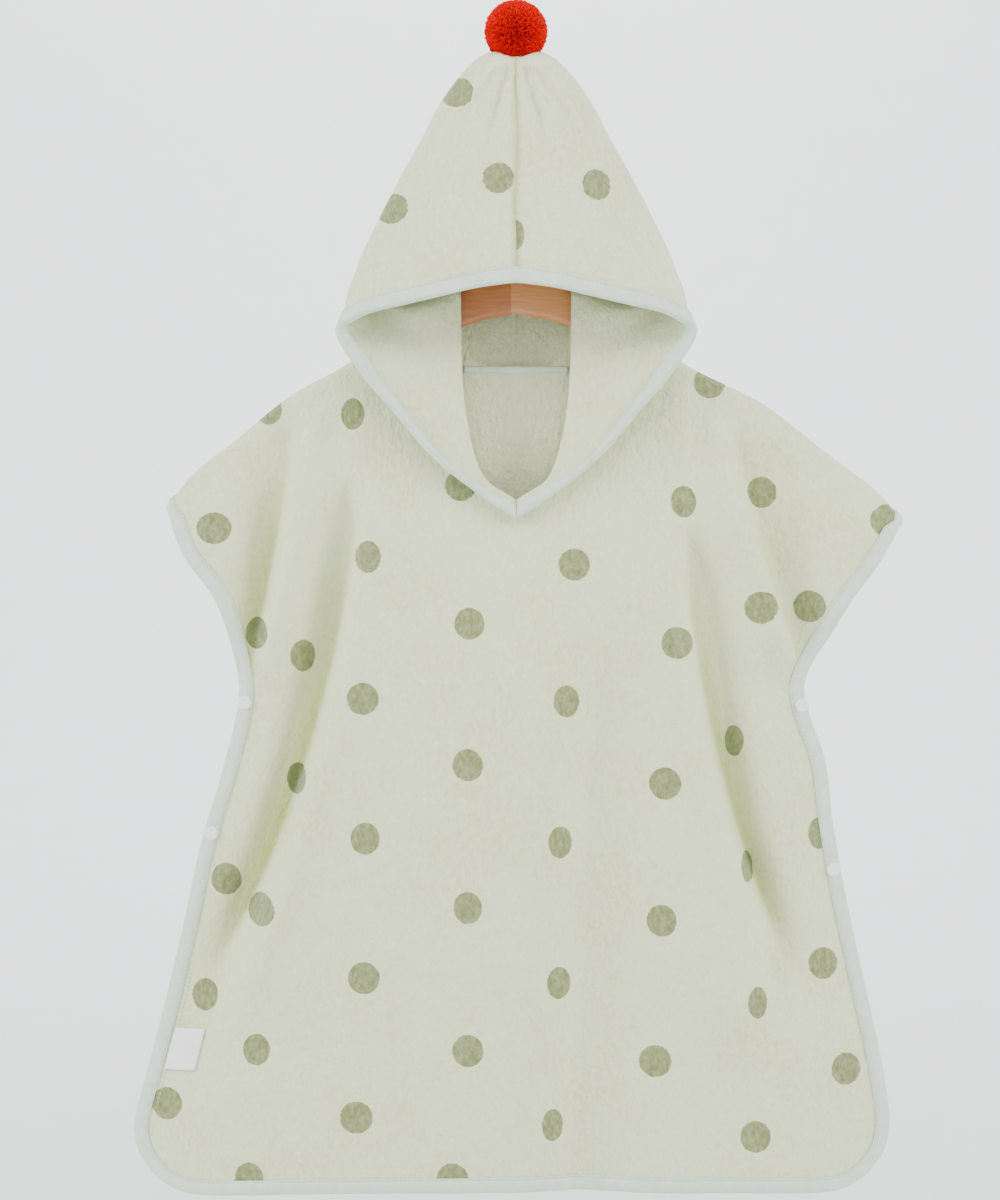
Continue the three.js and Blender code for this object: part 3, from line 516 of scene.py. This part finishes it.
def wall_between(name, outer, inner):
    """A closed wall between two matching grids of points."""
    rows, columns = outer.shape[:2]
    count = rows * columns
    faces = grid_faces(rows, columns, 0, False) + grid_faces(rows, columns, count, True)
    ring = ([r * columns for r in range(rows)]
            + [(rows - 1) * columns + c for c in range(1, columns)]
            + [r * columns + columns - 1 for r in range(rows - 2, -1, -1)]
            + [c for c in range(columns - 2, 0, -1)])
    for a, b in zip(ring, ring[1:] + ring[:1]):
        faces.append([a, b, b + count, a + count])
    points = np.concatenate([outer.reshape(-1, 3), inner.reshape(-1, 3)])
    return new_object(name, points, faces)


def paint(obj, values, name):
    """Keeps one number a point on the mesh, for its material to read."""
    attribute = obj.data.attributes.new(name, "FLOAT", "POINT")
    attribute.data.foreach_set("value", np.asarray(values, np.float32).ravel())


def paint_cloth(obj, dots, painted_shade):
    """Gives the outer side of a cloth its dots and painted shade, and leaves the inner side plain."""
    paint(obj, np.concatenate([dots.ravel(), np.full(dots.size, NO_DOT)]), "dots")
    paint(obj, np.concatenate([painted_shade.ravel(), np.zeros(painted_shade.size)]), "painted_shade")


def dot_field(x, z, dots):
    """How far each place is from the nearest dot's middle, 1 at the dot's edge."""
    field = np.full(np.shape(x), NO_DOT)
    for cx, cz, half_width in dots:
        field = np.minimum(field, np.hypot((x - cx) / half_width, (z - cz) / DOT_RADIUS))
    return field


def repeat_field(u, v):
    """The same for the cloth's own half-drop repeat, in flat millimetres."""
    column = np.round(u / DOT_PITCH[0])
    v = v + (column % 2) * DOT_PITCH[1] / 2
    off_v = v - np.round(v / DOT_PITCH[1]) * DOT_PITCH[1]
    return np.hypot(u - column * DOT_PITCH[0], off_v) / DOT_RADIUS


def trough_painted_shade(face, x, z):
    """How much painted shade each place gets, deepest low in a trough: a yellow-green for shade and for
    light bounced off the cloth beside it.
    """
    painted_shade = np.zeros(np.shape(x))
    for *fold, share in TROUGHS[face]:
        low = smooth((fold[1][0] - z) / (0.55 * (fold[1][0] - fold[1][2])))
        painted_shade = np.maximum(painted_shade, share * low * np.abs(fold_out(fold, x, z)) / abs(fold[4]))
    return painted_shade


def make_panel(face):
    grid = panel_places(face)
    x, z = grid[..., 0], grid[..., 1]
    middle, ways = middle_points(face, x, z), ways_out(face, x, z)
    obj = wall_between(face + "_cloth", middle + ways * HALF, middle - ways * HALF)
    start = BACK_START
    dots = (dot_field(x, z, FRONT_DOTS) if face == "front"
            else repeat_field(x - start[0], z - start[1]))
    paint_cloth(obj, dots, trough_painted_shade(face, x, z))
    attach(obj, "root")
    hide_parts(face + "_panel")
    return obj, middle, ways


def hood_neck_points():
    seats = []
    for on, (x, z), *_ in HOOD:
        seats.append(middle_points(on, x, z) + ways_out(on, x, z) * (WALL + GAP + NECK_LAP))
    return seats


def hood_middle():
    """Middle points of the right hood half, a row for each section from the centre seam."""
    tracks = [hood_neck_points()]
    tracks += [[row[k] for row in HOOD] for k in range(2, 7)]
    sections = (len(HOOD) - 1) * HOOD_STEPS
    shares = np.linspace(0, 1, sections + 1)
    controls = np.stack([smooth_curve(track, shares) for track in tracks], axis=1)
    spans = len(tracks) - 1
    rows = []
    for row in controls:
        band = min(0.9, BAND / np.linalg.norm(row[5] - row[4]))
        stations = np.concatenate([np.linspace(0, spans - band, HOOD_ACROSS), [spans]])
        rows.append(smooth_curve(row, stations / spans))
    return np.array(rows)


def hood_dots(name, mirror, m, w):
    """The dot field of one hood half: charted in front, the repeat behind, none between."""
    front = dot_field(m[..., 0], m[..., 2], [dot for dot in HOOD_DOTS if dot[0] * mirror > 0])
    seen = (m[..., 1] < -8) & (w[..., 1] < -0.05)
    start = HOOD_BACK_START[name]
    behind = repeat_field(m[..., 0] - start[0], m[..., 2] - start[1])
    return np.where(seen, front, np.where(m[..., 1] > 4, behind, NO_DOT))


# Painted shade along the hood's centre seam, in the first row of each half
def seam_painted_shade(shape):
    painted_shade = np.zeros(shape)
    painted_shade[0] = SEAM_PAINTED_SHADE
    return painted_shade


def make_hood():
    middle = hood_middle()
    ways = grid_ways(middle)
    for end in (0, -1):
        ways[end, :, 0] = 0
    ways = unit(ways)
    middle = middle + ways * hood_creases(middle)[..., None]
    middle[0, :, 0] = SEAM_GAP
    seamed = smooth((middle[..., 2] + 60) / 30) * smooth((90 - middle[..., 2]) / 20)
    halves = {}
    for name, mirror in (("hood_right", 1), ("hood_left", -1)):
        turn = np.array([mirror, 1, 1])
        m, w = middle * turn, ways * turn
        m[..., 0] += 1.1 * np.sin(m[..., 2] * 0.055) * np.exp(-((m[..., 0] / 16) ** 2)) * seamed
        obj = wall_between(name + "_cloth", m + w * HALF, m - w * HALF)
        paint_cloth(obj, hood_dots(name, mirror, m, w), seam_painted_shade(m.shape[:2]))
        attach(obj, "root")
        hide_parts(name)
        halves[name] = (obj, m, w)
    return halves


def hood_creases(middle):
    """Gathers fanning down from the tip and slow waves, as a height along the way out."""
    x, y, z = middle[..., 0], middle[..., 1], middle[..., 2]
    below = np.maximum(1, 112 - z)
    fan = x / below
    height = np.zeros_like(x)
    for at, wide, out in GATHERS:
        height = height + out * np.exp(-((fan - at) / wide) ** 2)
    height = height * smooth(x / 6) * smooth((z + 20) / 90) * smooth((108 - z) / 24)
    waves = 1.4 * np.sin(x * 0.045 + z * 0.03) * smooth((z + 100) / 60) * smooth((80 - z) / 60)
    seam = -np.where(y > 6, 1.9, 0.9) * np.exp(-(x / 3.0) ** 2) * (z > -140)
    return height + waves + seam


def make_binding(name, node, edge, edge_ways, inside, inside_ways, clearance):
    """A tape folded over an edge, with a rounded lip."""
    near, far = HALF + clearance, HALF + clearance + TAPE
    beyond = unit(edge - inside)
    outer, inner = [], []
    for k in TAPE_RELIEF:
        base, way = lerp(inside, edge, k), unit(lerp(inside_ways, edge_ways, k))
        outer.append(base + way * (far + TAPE_RELIEF[k]))
        inner.append(base + way * near)
    for angle in (60, 30, 0, -30, -60):
        a = math.radians(angle)
        outer.append(edge + edge_ways * far * math.sin(a) + beyond * (clearance + TAPE) * math.cos(a))
        inner.append(edge + edge_ways * near * math.sin(a) + beyond * clearance * math.cos(a))
    for k in reversed(TAPE_RELIEF):
        base, way = lerp(inside, edge, k), unit(lerp(inside_ways, edge_ways, k))
        outer.append(base - way * (far + TAPE_RELIEF[k]))
        inner.append(base - way * near)
    obj = wall_between(name, np.stack(outer, axis=1), np.stack(inner, axis=1))
    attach(obj, "root")
    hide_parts(node)
    return obj


def edge_line(middle, ways):
    """A panel's edge from one sleeve tip round the hem to the other, with the band inside."""
    rows, columns = middle.shape[:2]
    low, far = rows - 2, columns - 2
    cells = [((r, 0), (r, 1)) for r in range(low)]
    cells += [((rows - 1, 0), (low, 1))]
    cells += [((rows - 1, c), (low, c)) for c in range(2, far)]
    cells += [((rows - 1, columns - 1), (low, far))]
    cells += [((r, columns - 1), (r, far)) for r in range(low - 1, -1, -1)]
    pick = lambda values, which: np.array([values[cell[which]] for cell in cells])
    return pick(middle, 0), pick(ways, 0), pick(middle, 1), pick(ways, 1)


def hood_edge_line(halves):
    _, left, left_ways = halves["hood_left"]
    _, right, right_ways = halves["hood_right"]
    join = lambda a, b, k: np.concatenate([a[:0:-1, k], b[:, k]])
    edge, inside = join(left, right, -1), join(left, right, -2)
    count = len(left) - 1
    edge[count, 0] = inside[count, 0] = 0
    return edge, join(left_ways, right_ways, -1), inside, join(left_ways, right_ways, -2)


def make_stitches(name, thread, line, way, pitch=3.4, long=2.3, wide=0.38):
    """A row of thread stitches lying on a tape, as one mesh of small pointed beads."""
    steps = np.linalg.norm(np.diff(line, axis=0), axis=1)
    run = np.concatenate([[0], np.cumsum(steps)])
    places = np.arange(pitch, run[-1] - pitch, pitch)
    at = lambda d, values: np.stack([np.interp(d, run, values[:, k]) for k in range(3)], axis=-1)
    start, end = at(places - long / 2, line), at(places + long / 2, line)
    up = unit(at(places, way))
    middle = (start + end) / 2
    side = unit(np.cross(end - start, up))
    corners = [start, middle + side * wide, middle + up * wide, middle - side * wide,
               middle - up * wide * 0.6, end]
    points = np.stack(corners, axis=1).reshape(-1, 3)
    faces = []
    for k in range(len(places)):
        b = 6 * k
        for i in range(4):
            j = (i + 1) % 4
            faces += [[b, b + 1 + j, b + 1 + i], [b + 5, b + 1 + i, b + 1 + j]]
    obj = new_object(name, points, faces)
    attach(obj, "root")
    wear(obj, thread)
    return obj


def make_vent_stitches(thread):
    """The second stitch line beside the left vent, with a short bar of thread over its top."""
    z = np.linspace(VENT["top"], VENT["bottom"], 60)
    x = side_x(LEFT_SIDE, z) + VENT["inside"]
    bar_x = side_x(LEFT_SIDE, VENT["top"]) + np.linspace(2, VENT["inside"], 20)
    line = [middle_points("front", px, pz) + ways_out("front", px, pz) * (HALF + 0.2)
            for px, pz in ((x, z), (bar_x, np.full(20, float(VENT["top"]))))]
    way = [ways_out("front", x, z), ways_out("front", bar_x, np.full(20, float(VENT["top"])))]
    make_stitches("vent_stitches", thread, line[0], way[0], wide=0.5)
    return make_stitches("vent_bar", thread, line[1], way[1], pitch=1.5, long=1.4, wide=0.7)


def solid_of_rings(name, rings):
    """A closed body through equal rings of points, with flat ends."""
    rings = np.array(rings)
    count, around = rings.shape[:2]
    faces = []
    for r in range(count - 1):
        for k in range(around):
            j = (k + 1) % around
            faces.append([r * around + k, r * around + j, (r + 1) * around + j, (r + 1) * around + k])
    faces.append(list(range(around))[::-1])
    faces.append([(count - 1) * around + k for k in range(around)])
    return new_object(name, rings.reshape(-1, 3), faces)


def bar_shrink(x):
    """How much smaller the bar's section is at x, which rounds its two ends."""
    if abs(x) > BAR["ends"]:
        return 0.72
    return 0.93 if abs(x) > BAR["ends"] - 1 else 1


def make_hanger_bar():
    ends, around = BAR["ends"], 28
    radius = WOOD_THICK / 2
    tip = [ends, ends + BAR["tip"]]
    rings = []
    for x in np.concatenate([[-tip[1], -ends], np.linspace(-ends + 2, ends - 2, 90), tip]):
        shrink = bar_shrink(x)
        bend = min(1, abs(x) / BAR["ridge"])
        top = lerp(RIDGE_TOP - BAR["slope"] * abs(x), float(shoulder_z(x)), smooth(bend)) - WOOD_SEAT
        tall = lerp(BAR["middle_tall"], BAR["end_tall"], min(1, abs(x) / ends))
        ring = []
        for k in range(around):
            a = 2 * math.pi * k / around
            flat = (tall / 2 - radius) * (1 if math.sin(a) >= 0 else -1)
            ring.append((x, radius * math.cos(a) * shrink,
                         top - tall / 2 + (flat + radius * math.sin(a)) * shrink))
        rings.append(ring)
    obj = solid_of_rings("hanger_wood", rings)
    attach(obj, "root")
    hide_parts("hanger_bar")
    return obj


def strand_points(rng, centre, way, turn):
    """Three levels of a three-sided strand that leaves the ball's middle along a way."""
    reach = POMPOM["radius"] + rng.gauss(0, 0.55)
    side = np.cross(way, [0.3, 0.9, 0.1])
    side /= np.linalg.norm(side)
    other = np.cross(way, side)
    lean = (side * rng.gauss(0, 0.9) + other * rng.gauss(0, 0.9))
    points = []
    for distance, wide, share in ((14, 0.5, 0), (21, 0.66, 0.5), (reach, 0.5, 1)):
        for i in range(3):
            a = 2 * math.pi * i / 3 + turn
            points.append(centre + way * distance + lean * share
                          + (side * math.cos(a) + other * math.sin(a)) * wide)
    return points


def make_pompom():
    """A ball of cut yarn: tapered three-sided strands, with a round core inside."""
    rng = random.Random(7)
    centre = np.array(POMPOM["centre"])
    count = POMPOM["strands"]
    points, faces = [], []
    for k in range(count):
        z = 1 - 2 * (k + 0.5) / count
        turn = k * math.pi * (3 - math.sqrt(5))
        r = math.sqrt(1 - z * z)
        way = np.array([r * math.cos(turn), r * math.sin(turn), z])
        way = way + np.array([rng.gauss(0, 0.055) for _ in range(3)])
        way /= np.linalg.norm(way)
        if way[2] < (-0.95 if way[1] < -0.3 else -0.72):
            continue
        b = len(points)
        points += strand_points(rng, centre, way, k)
        for level in (0, 3):
            for i in range(3):
                j = (i + 1) % 3
                faces.append([b + level + i, b + level + j, b + level + 3 + j, b + level + 3 + i])
        faces += [[b + 2, b + 1, b], [b + 6, b + 7, b + 8]]
    obj = new_object("pompom_yarn", points, faces)
    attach(obj, "root")
    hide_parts("pompom")
    return obj


def make_pompom_core():
    bpy.ops.object.select_all(action="DESELECT")
    centre = Vector(POMPOM["centre"]) * MM
    bpy.ops.mesh.primitive_ico_sphere_add(subdivisions=5, radius=POMPOM["core"] * MM, location=centre)
    obj = bpy.context.object
    bpy.ops.object.transform_apply(location=True, rotation=True, scale=True)
    obj.name = "pompom_core"
    for v in obj.data.vertices:
        away = (v.co - centre).normalized()
        lump = math.sin(away.x * 31) * math.sin(away.y * 29) * math.sin(away.z * 33)
        v.co += away * 0.0012 * lump
    obj.data.shade_smooth()
    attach(obj, "root")
    return obj


def cap_axes(node):
    """A snap cap's middle, the way it faces and two ways across it, from its CAD disc."""
    low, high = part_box(node)
    co = np.array([v.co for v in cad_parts[node].data.vertices])
    _, _, axes = np.linalg.svd(co - co.mean(0), full_matrices=False)
    facing = 1 if "back" in node else -1
    way = axes[2] if axes[2][1] * facing > 0 else -axes[2]
    side = np.cross(way, [0, 0, 1.0])
    side /= np.linalg.norm(side)
    return (np.array(low) + np.array(high)) / 2, way, side, np.cross(side, way)


def make_snap_disc(node):
    """A finer round cap where a snap's plain disc lies, dished a little in the middle."""
    centre, way, side, up = cap_axes(node)
    rings = []
    for radius, height in CAP_PROFILE:
        rings.append([(centre + way * height * MM + radius * MM
                       * (side * math.cos(a) + up * math.sin(a))) / MM
                      for a in np.linspace(0, 2 * math.pi, 37)[:-1]])
    obj = solid_of_rings(node + "_disc", rings)
    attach(obj, "root")
    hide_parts(node)
    return obj


def make_label():
    wide, bottom = LABEL["wide"], LABEL["bottom"]
    z = np.linspace(LABEL["top"], bottom, 40)[:, None] * np.ones((1, 26))
    across = np.linspace(0, wide, 26)[None, :]
    x = side_x(LEFT_SIDE, z) + LABEL["start"] + across
    middle, ways = middle_points("front", x, z), ways_out("front", x, z)
    near = HALF + LABEL["lift"]
    curl = 0.5 * np.sin(np.pi * across / wide)[..., None] * np.ones_like(z)[..., None]
    outer = middle + ways * (near + LABEL["thick"] + curl)
    fold = np.exp(-((z - bottom - 5) / 0.7) ** 2)[..., None] * 0.5
    obj = wall_between("side_label", outer - ways * fold, middle + ways * near)
    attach(obj, "root")
    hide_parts("label")
    return obj


def make_neck_tape():
    x = np.linspace(-NECK_TAPE["reach"], NECK_TAPE["reach"], 60)[:, None] * np.ones((1, 7))
    neck = curve_points(NECK["back"])[::-1]
    top = np.minimum(np.interp(np.abs(x), neck[:, 0], neck[:, 1]), NECK["back"][-1][1]) + 0.5
    z = top - np.linspace(0, NECK_TAPE["tall"], 7)[None, :]
    middle, ways = middle_points("back", x, z), ways_out("back", x, z)
    near = HALF + GAP
    crown = 0.7 + 0.35 * np.sin(np.pi * np.linspace(0, 1, 7))[None, :, None]
    obj = wall_between("neck_seam_tape", middle - ways * (near + crown), middle - ways * near)
    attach(obj, "root")
    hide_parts("neck_tape")
    return obj


def linear(rgb):
    channel = lambda c: c / 12.92 if c <= 0.04045 else ((c + 0.055) / 1.055) ** 2.4
    return (*[channel(c / 255) for c in rgb], 1)


class Nodes:
    """A small helper that adds and joins shader nodes."""

    def __init__(self, name):
        self.material = bpy.data.materials.new(name)
        self.material.use_nodes = True
        self.tree = self.material.node_tree
        self.shader = self.tree.nodes["Principled BSDF"]

    def add(self, kind, inputs=None, **settings):
        node = self.tree.nodes.new(kind)
        for key, value in settings.items():
            setattr(node, key, value)
        for key, value in (inputs or {}).items():
            if isinstance(value, bpy.types.NodeSocket):
                self.tree.links.new(value, node.inputs[key])
            else:
                node.inputs[key].default_value = value
        return node

    def math(self, operation, a, b=0.0):
        return self.add("ShaderNodeMath", {0: a, 1: b}, operation=operation).outputs[0]

    def place(self):
        return self.add("ShaderNodeTexCoord").outputs["Object"]

    def noise(self, scale, detail=2.0, rough=0.5, place=None):
        inputs = {"Vector": place or self.place(), "Scale": scale, "Detail": detail, "Roughness": rough}
        return self.add("ShaderNodeTexNoise", inputs).outputs["Fac"]

    def ramp(self, value, stops):
        node = self.add("ShaderNodeValToRGB", {"Fac": value})
        while len(node.color_ramp.elements) < len(stops):
            node.color_ramp.elements.new(0.5)
        for element, (position, colour) in zip(node.color_ramp.elements, stops):
            element.position = position
            element.color = colour
        return node.outputs["Color"]

    def grey(self, value, low, high):
        return self.ramp(value, [(low, (0, 0, 0, 1)), (high, (1, 1, 1, 1))])

    def mix(self, share, a, b):
        node = self.add("ShaderNodeMix", data_type="RGBA")
        for socket, value in ((node.inputs["Factor"], share), (node.inputs[6], a), (node.inputs[7], b)):
            if isinstance(value, bpy.types.NodeSocket):
                self.tree.links.new(value, socket)
            else:
                socket.default_value = value
        return node.outputs[2]

    def bump(self, height, strength, distance, normal=None):
        inputs = {"Height": height, "Strength": strength, "Distance": distance}
        if normal is not None:
            inputs["Normal"] = normal
        return self.add("ShaderNodeBump", inputs).outputs["Normal"]

    def finish(self, colour, roughness, normal=None, **fixed):
        for socket, value in (("Base Color", colour), ("Roughness", roughness), ("Normal", normal)):
            if value is None:
                continue
            if isinstance(value, bpy.types.NodeSocket):
                self.tree.links.new(value, self.shader.inputs[socket])
            else:
                self.shader.inputs[socket].default_value = value
        for key, value in fixed.items():
            self.shader.inputs[key.replace("_", " ")].default_value = value
        return self.material


def terry_material():
    n = Nodes("terry_cloth")
    loops = n.add("ShaderNodeTexVoronoi", {"Vector": n.place(), "Scale": 540.0,
                                           "Randomness": 1.0}).outputs["Distance"]
    nap = n.add("ShaderNodeMapping", {"Vector": n.place(), "Scale": (1.0, 1.0, 0.62)}).outputs[0]
    tufts = n.noise(300.0, 4.0, 0.62, nap)
    clumps = n.noise(120.0, 3.0, 0.6, nap)
    patches = n.noise(16.0, 3.0, 0.55)
    worn = n.grey(patches, 0.38, 0.66)
    depth = n.math("ADD", n.math("MULTIPLY", worn, 0.5), 0.3)
    shade = n.math("MULTIPLY", n.grey(tufts, 0.34, 0.66), depth)
    base = n.mix(shade, linear(COLOURS["terry"]), linear(COLOURS["terry_deep"]))
    dot = n.mix(n.grey(tufts, 0.32, 0.66), linear(COLOURS["dot_deep"]), linear(COLOURS["dot"]))
    field = n.add("ShaderNodeAttribute", attribute_name="dots").outputs["Fac"]
    ragged = n.math("ADD", field, n.math("MULTIPLY", n.math("SUBTRACT", clumps, 0.5), 0.06))
    ragged = n.math("ADD", ragged, n.math("MULTIPLY", n.math("SUBTRACT", tufts, 0.5), 0.13))
    inside = n.grey(ragged, 0.95, 1.03)
    # Painted shade: the troughs and the hood's centre seam are coloured towards a deep yellow-green
    painted_shade = n.add("ShaderNodeAttribute", attribute_name="painted_shade").outputs["Fac"]
    base = n.mix(n.math("MULTIPLY", painted_shade, 0.8), base, linear(COLOURS["trough"]))
    dot = n.mix(n.math("MULTIPLY", painted_shade, 0.8), dot, linear(COLOURS["trough_dot"]))
    colour = n.mix(inside, dot, base)
    normal = n.bump(clumps, 0.7, 0.003)
    normal = n.bump(tufts, 0.9, 0.0018, normal)
    normal = n.bump(loops, 0.35, 0.0006, normal)
    return n.finish(colour, 0.95, normal, Sheen_Weight=0.25, Sheen_Roughness=0.5,
                    Specular_IOR_Level=0.1)


def thread_material():
    n = Nodes("cotton_thread")
    soft = n.noise(500.0, 2.0)
    colour = n.mix(soft, linear((172, 190, 166)), linear((196, 212, 190)))
    return n.finish(colour, 0.8, n.bump(soft, 0.3, 0.0002), Sheen_Weight=0.1)


def tape_material():
    n = Nodes("cotton_tape")
    ribs = n.add("ShaderNodeTexWave", {"Vector": n.place(), "Scale": 900.0, "Distortion": 1.2,
                                       "Detail": 1.0}, bands_direction="DIAGONAL").outputs["Fac"]
    soft = n.noise(120.0, 3.0)
    colour = n.mix(n.grey(soft, 0.3, 0.75), linear((205, 222, 200)), linear(COLOURS["tape"]))
    return n.finish(colour, 0.85, n.bump(ribs, 0.25, 0.0003), Sheen_Weight=0.2,
                    Specular_IOR_Level=0.25)


def yarn_material():
    n = Nodes("red_yarn")
    soft = n.noise(420.0, 3.0)
    colour = n.mix(n.grey(soft, 0.3, 0.7), linear((190, 0, 0)), linear(COLOURS["yarn"]))
    return n.finish(colour, 0.9, n.bump(soft, 0.4, 0.0004), Specular_IOR_Level=0.0)


def wood_material():
    n = Nodes("varnished_wood")
    stretch = n.add("ShaderNodeMapping", {"Vector": n.place(), "Scale": (7.0, 60.0, 60.0)}).outputs[0]
    grain = n.noise(6.0, 6.0, 0.65, stretch)
    # Painted shade: the bar's left half is coloured darker, for its face turned away from the light
    across = n.add("ShaderNodeSeparateXYZ", {"Vector": n.place()}).outputs["X"]
    right = n.math("GREATER_THAN", across, -0.004)
    left_wood_painted_shade = n.mix(n.grey(grain, 0.3, 0.7), linear(COLOURS["wood_painted_shade"]), linear((186, 118, 66)))
    right_wood = n.mix(n.grey(grain, 0.3, 0.7), linear((186, 120, 70)), linear(COLOURS["wood"]))
    colour = n.mix(right, left_wood_painted_shade, right_wood)
    return n.finish(colour, 0.42, n.bump(grain, 0.2, 0.0004), Coat_Weight=0.25, Coat_Roughness=0.25)


def steel_material():
    n = Nodes("steel_wire")
    fine = n.noise(300.0, 2.0)
    colour = n.mix(fine, linear((196, 199, 203)), linear((222, 224, 227)))
    return n.finish(colour, 0.25, n.bump(fine, 0.08, 0.0001), Metallic=1.0)


def snap_material():
    n = Nodes("white_plastic")
    fine = n.noise(180.0, 2.0)
    colour = n.mix(fine, linear((238, 240, 238)), linear((250, 251, 250)))
    return n.finish(colour, 0.35, n.bump(fine, 0.05, 0.0001), Coat_Weight=0.2)


def label_material():
    n = Nodes("white_ribbon")
    weave = n.add("ShaderNodeTexWave", {"Vector": n.place(), "Scale": 700.0}).outputs["Fac"]
    colour = n.mix(n.noise(90.0), linear((240, 241, 240)), linear((250, 250, 249)))
    return n.finish(colour, 0.6, n.bump(weave, 0.2, 0.0002), Sheen_Weight=0.2)


def wear(obj, material):
    obj.data.materials.clear()
    obj.data.materials.append(material)


def make_stage():
    bpy.ops.object.select_all(action="DESELECT")
    floor_z, back_y, bend = -0.905, 5.2, 2.0
    profile = [(-6.0, floor_z), (back_y - bend, floor_z)]
    for k in range(1, 12):
        a = math.pi / 2 * k / 12
        profile.append((back_y - bend + bend * math.sin(a), floor_z + bend - bend * math.cos(a)))
    profile += [(back_y, floor_z + bend), (back_y, 7.0)]
    points = [(x / MM, y / MM, z / MM) for x in (-9.0, 9.0) for y, z in profile]
    count = len(profile)
    faces = [[k, k + 1, count + k + 1, count + k] for k in range(count - 1)]
    stage = new_object("studio_sweep", points, faces, closed_check=False)
    n = Nodes("studio_paper")
    fine = n.noise(12.0)
    wear(stage, n.finish(n.mix(fine, linear((236, 237, 240)), linear((240, 241, 243))), 0.9))


def make_light(name, place, target, size, power, colour=(1, 1, 1)):
    data = bpy.data.lights.new(name, "AREA")
    data.shape = "RECTANGLE"
    data.size, data.size_y = size
    data.energy = power
    data.color = colour
    light = bpy.data.objects.new(name, data)
    light.location = place
    light.rotation_euler = (Vector(target) - Vector(place)).to_track_quat("-Z", "Y").to_euler()
    bpy.context.scene.collection.objects.link(light)


def make_lights():
    make_light("window", (-2.7, -1.15, 0.7), (0, 0, -0.4), (1.2, 1.8), 94)
    make_light("room", (2.7, -1.25, 0.7), (0, 0, -0.4), (1.2, 1.8), 84)
    make_light("ceiling", (0.2, -1.9, 2.0), (0, 0, -0.4), (1.6, 1.2), 62)
    make_light("backdrop", (0, 2.2, 3.4), (0, 5.2, 0.2), (6.0, 1.5), 420)
    world = bpy.context.scene.world or bpy.data.worlds.new("air")
    bpy.context.scene.world = world
    world.use_nodes = True
    world.node_tree.nodes["Background"].inputs["Color"].default_value = (0.93, 0.95, 1.0, 1)
    world.node_tree.nodes["Background"].inputs["Strength"].default_value = 0.6


def make_camera():
    data = bpy.data.cameras.new("view")
    data.sensor_width = 36
    data.lens = 82.5
    camera = bpy.data.objects.new("view", data)
    camera.location = (-0.0128, -2.2, -0.336)
    camera.rotation_euler = (math.pi / 2, 0, 0)
    bpy.context.scene.collection.objects.link(camera)
    bpy.context.scene.camera = camera


def stitch_line(edge, raised):
    """Where a binding's stitches lie: the line, raised off the cloth, and the way out of it."""
    outer, outer_ways, inner, inner_ways = edge
    way = unit(lerp(inner_ways, outer_ways, STITCH_PLACE))
    return lerp(inner, outer, STITCH_PLACE) + way * raised, way


def dress_panel(face, terry, tape, thread):
    panel, middle, ways = make_panel(face)
    wear(panel, terry)
    edge = edge_line(middle, ways)
    binding = make_binding(face + "_edge_tape", face + "_binding", *edge, EDGE_GAP)
    wear(binding, tape)
    stitches = make_stitches(face + "_stitches", thread, *stitch_line(edge, HALF + EDGE_GAP + TAPE))


def dress_hood(terry, tape, thread):
    hood = make_hood()
    edge = hood_edge_line(hood)
    wear(make_binding("face_edge_tape", "hood_binding", *edge, HOOD_TAPE_GAP), tape)
    make_stitches("hood_stitches", thread, *stitch_line(edge, HALF + HOOD_TAPE_GAP + TAPE))
    for obj, _, _ in hood.values():
        wear(obj, terry)


def dress_hanger():
    wear(make_hanger_bar(), wood_material())
    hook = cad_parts["hanger_hook"]
    wear(hook, steel_material())
    hook.data.shade_smooth()


def dress_snaps():
    plastic = snap_material()
    for node in [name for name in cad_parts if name.startswith("snap_")]:
        piece = make_snap_disc(node) if node.endswith("_cap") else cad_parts[node]
        wear(piece, plastic)


make_camera()
terry, tape, yarn, thread = terry_material(), tape_material(), yarn_material(), thread_material()
dress_panel("front", terry, tape, thread)
dress_panel("back", terry, tape, thread)
dress_hood(terry, tape, thread)
make_vent_stitches(thread)
wear(make_neck_tape(), tape)
wear(make_label(), label_material())
wear(make_pompom(), yarn)
wear(make_pompom_core(), yarn)
dress_hanger()
dress_snaps()
make_stage()
make_lights()
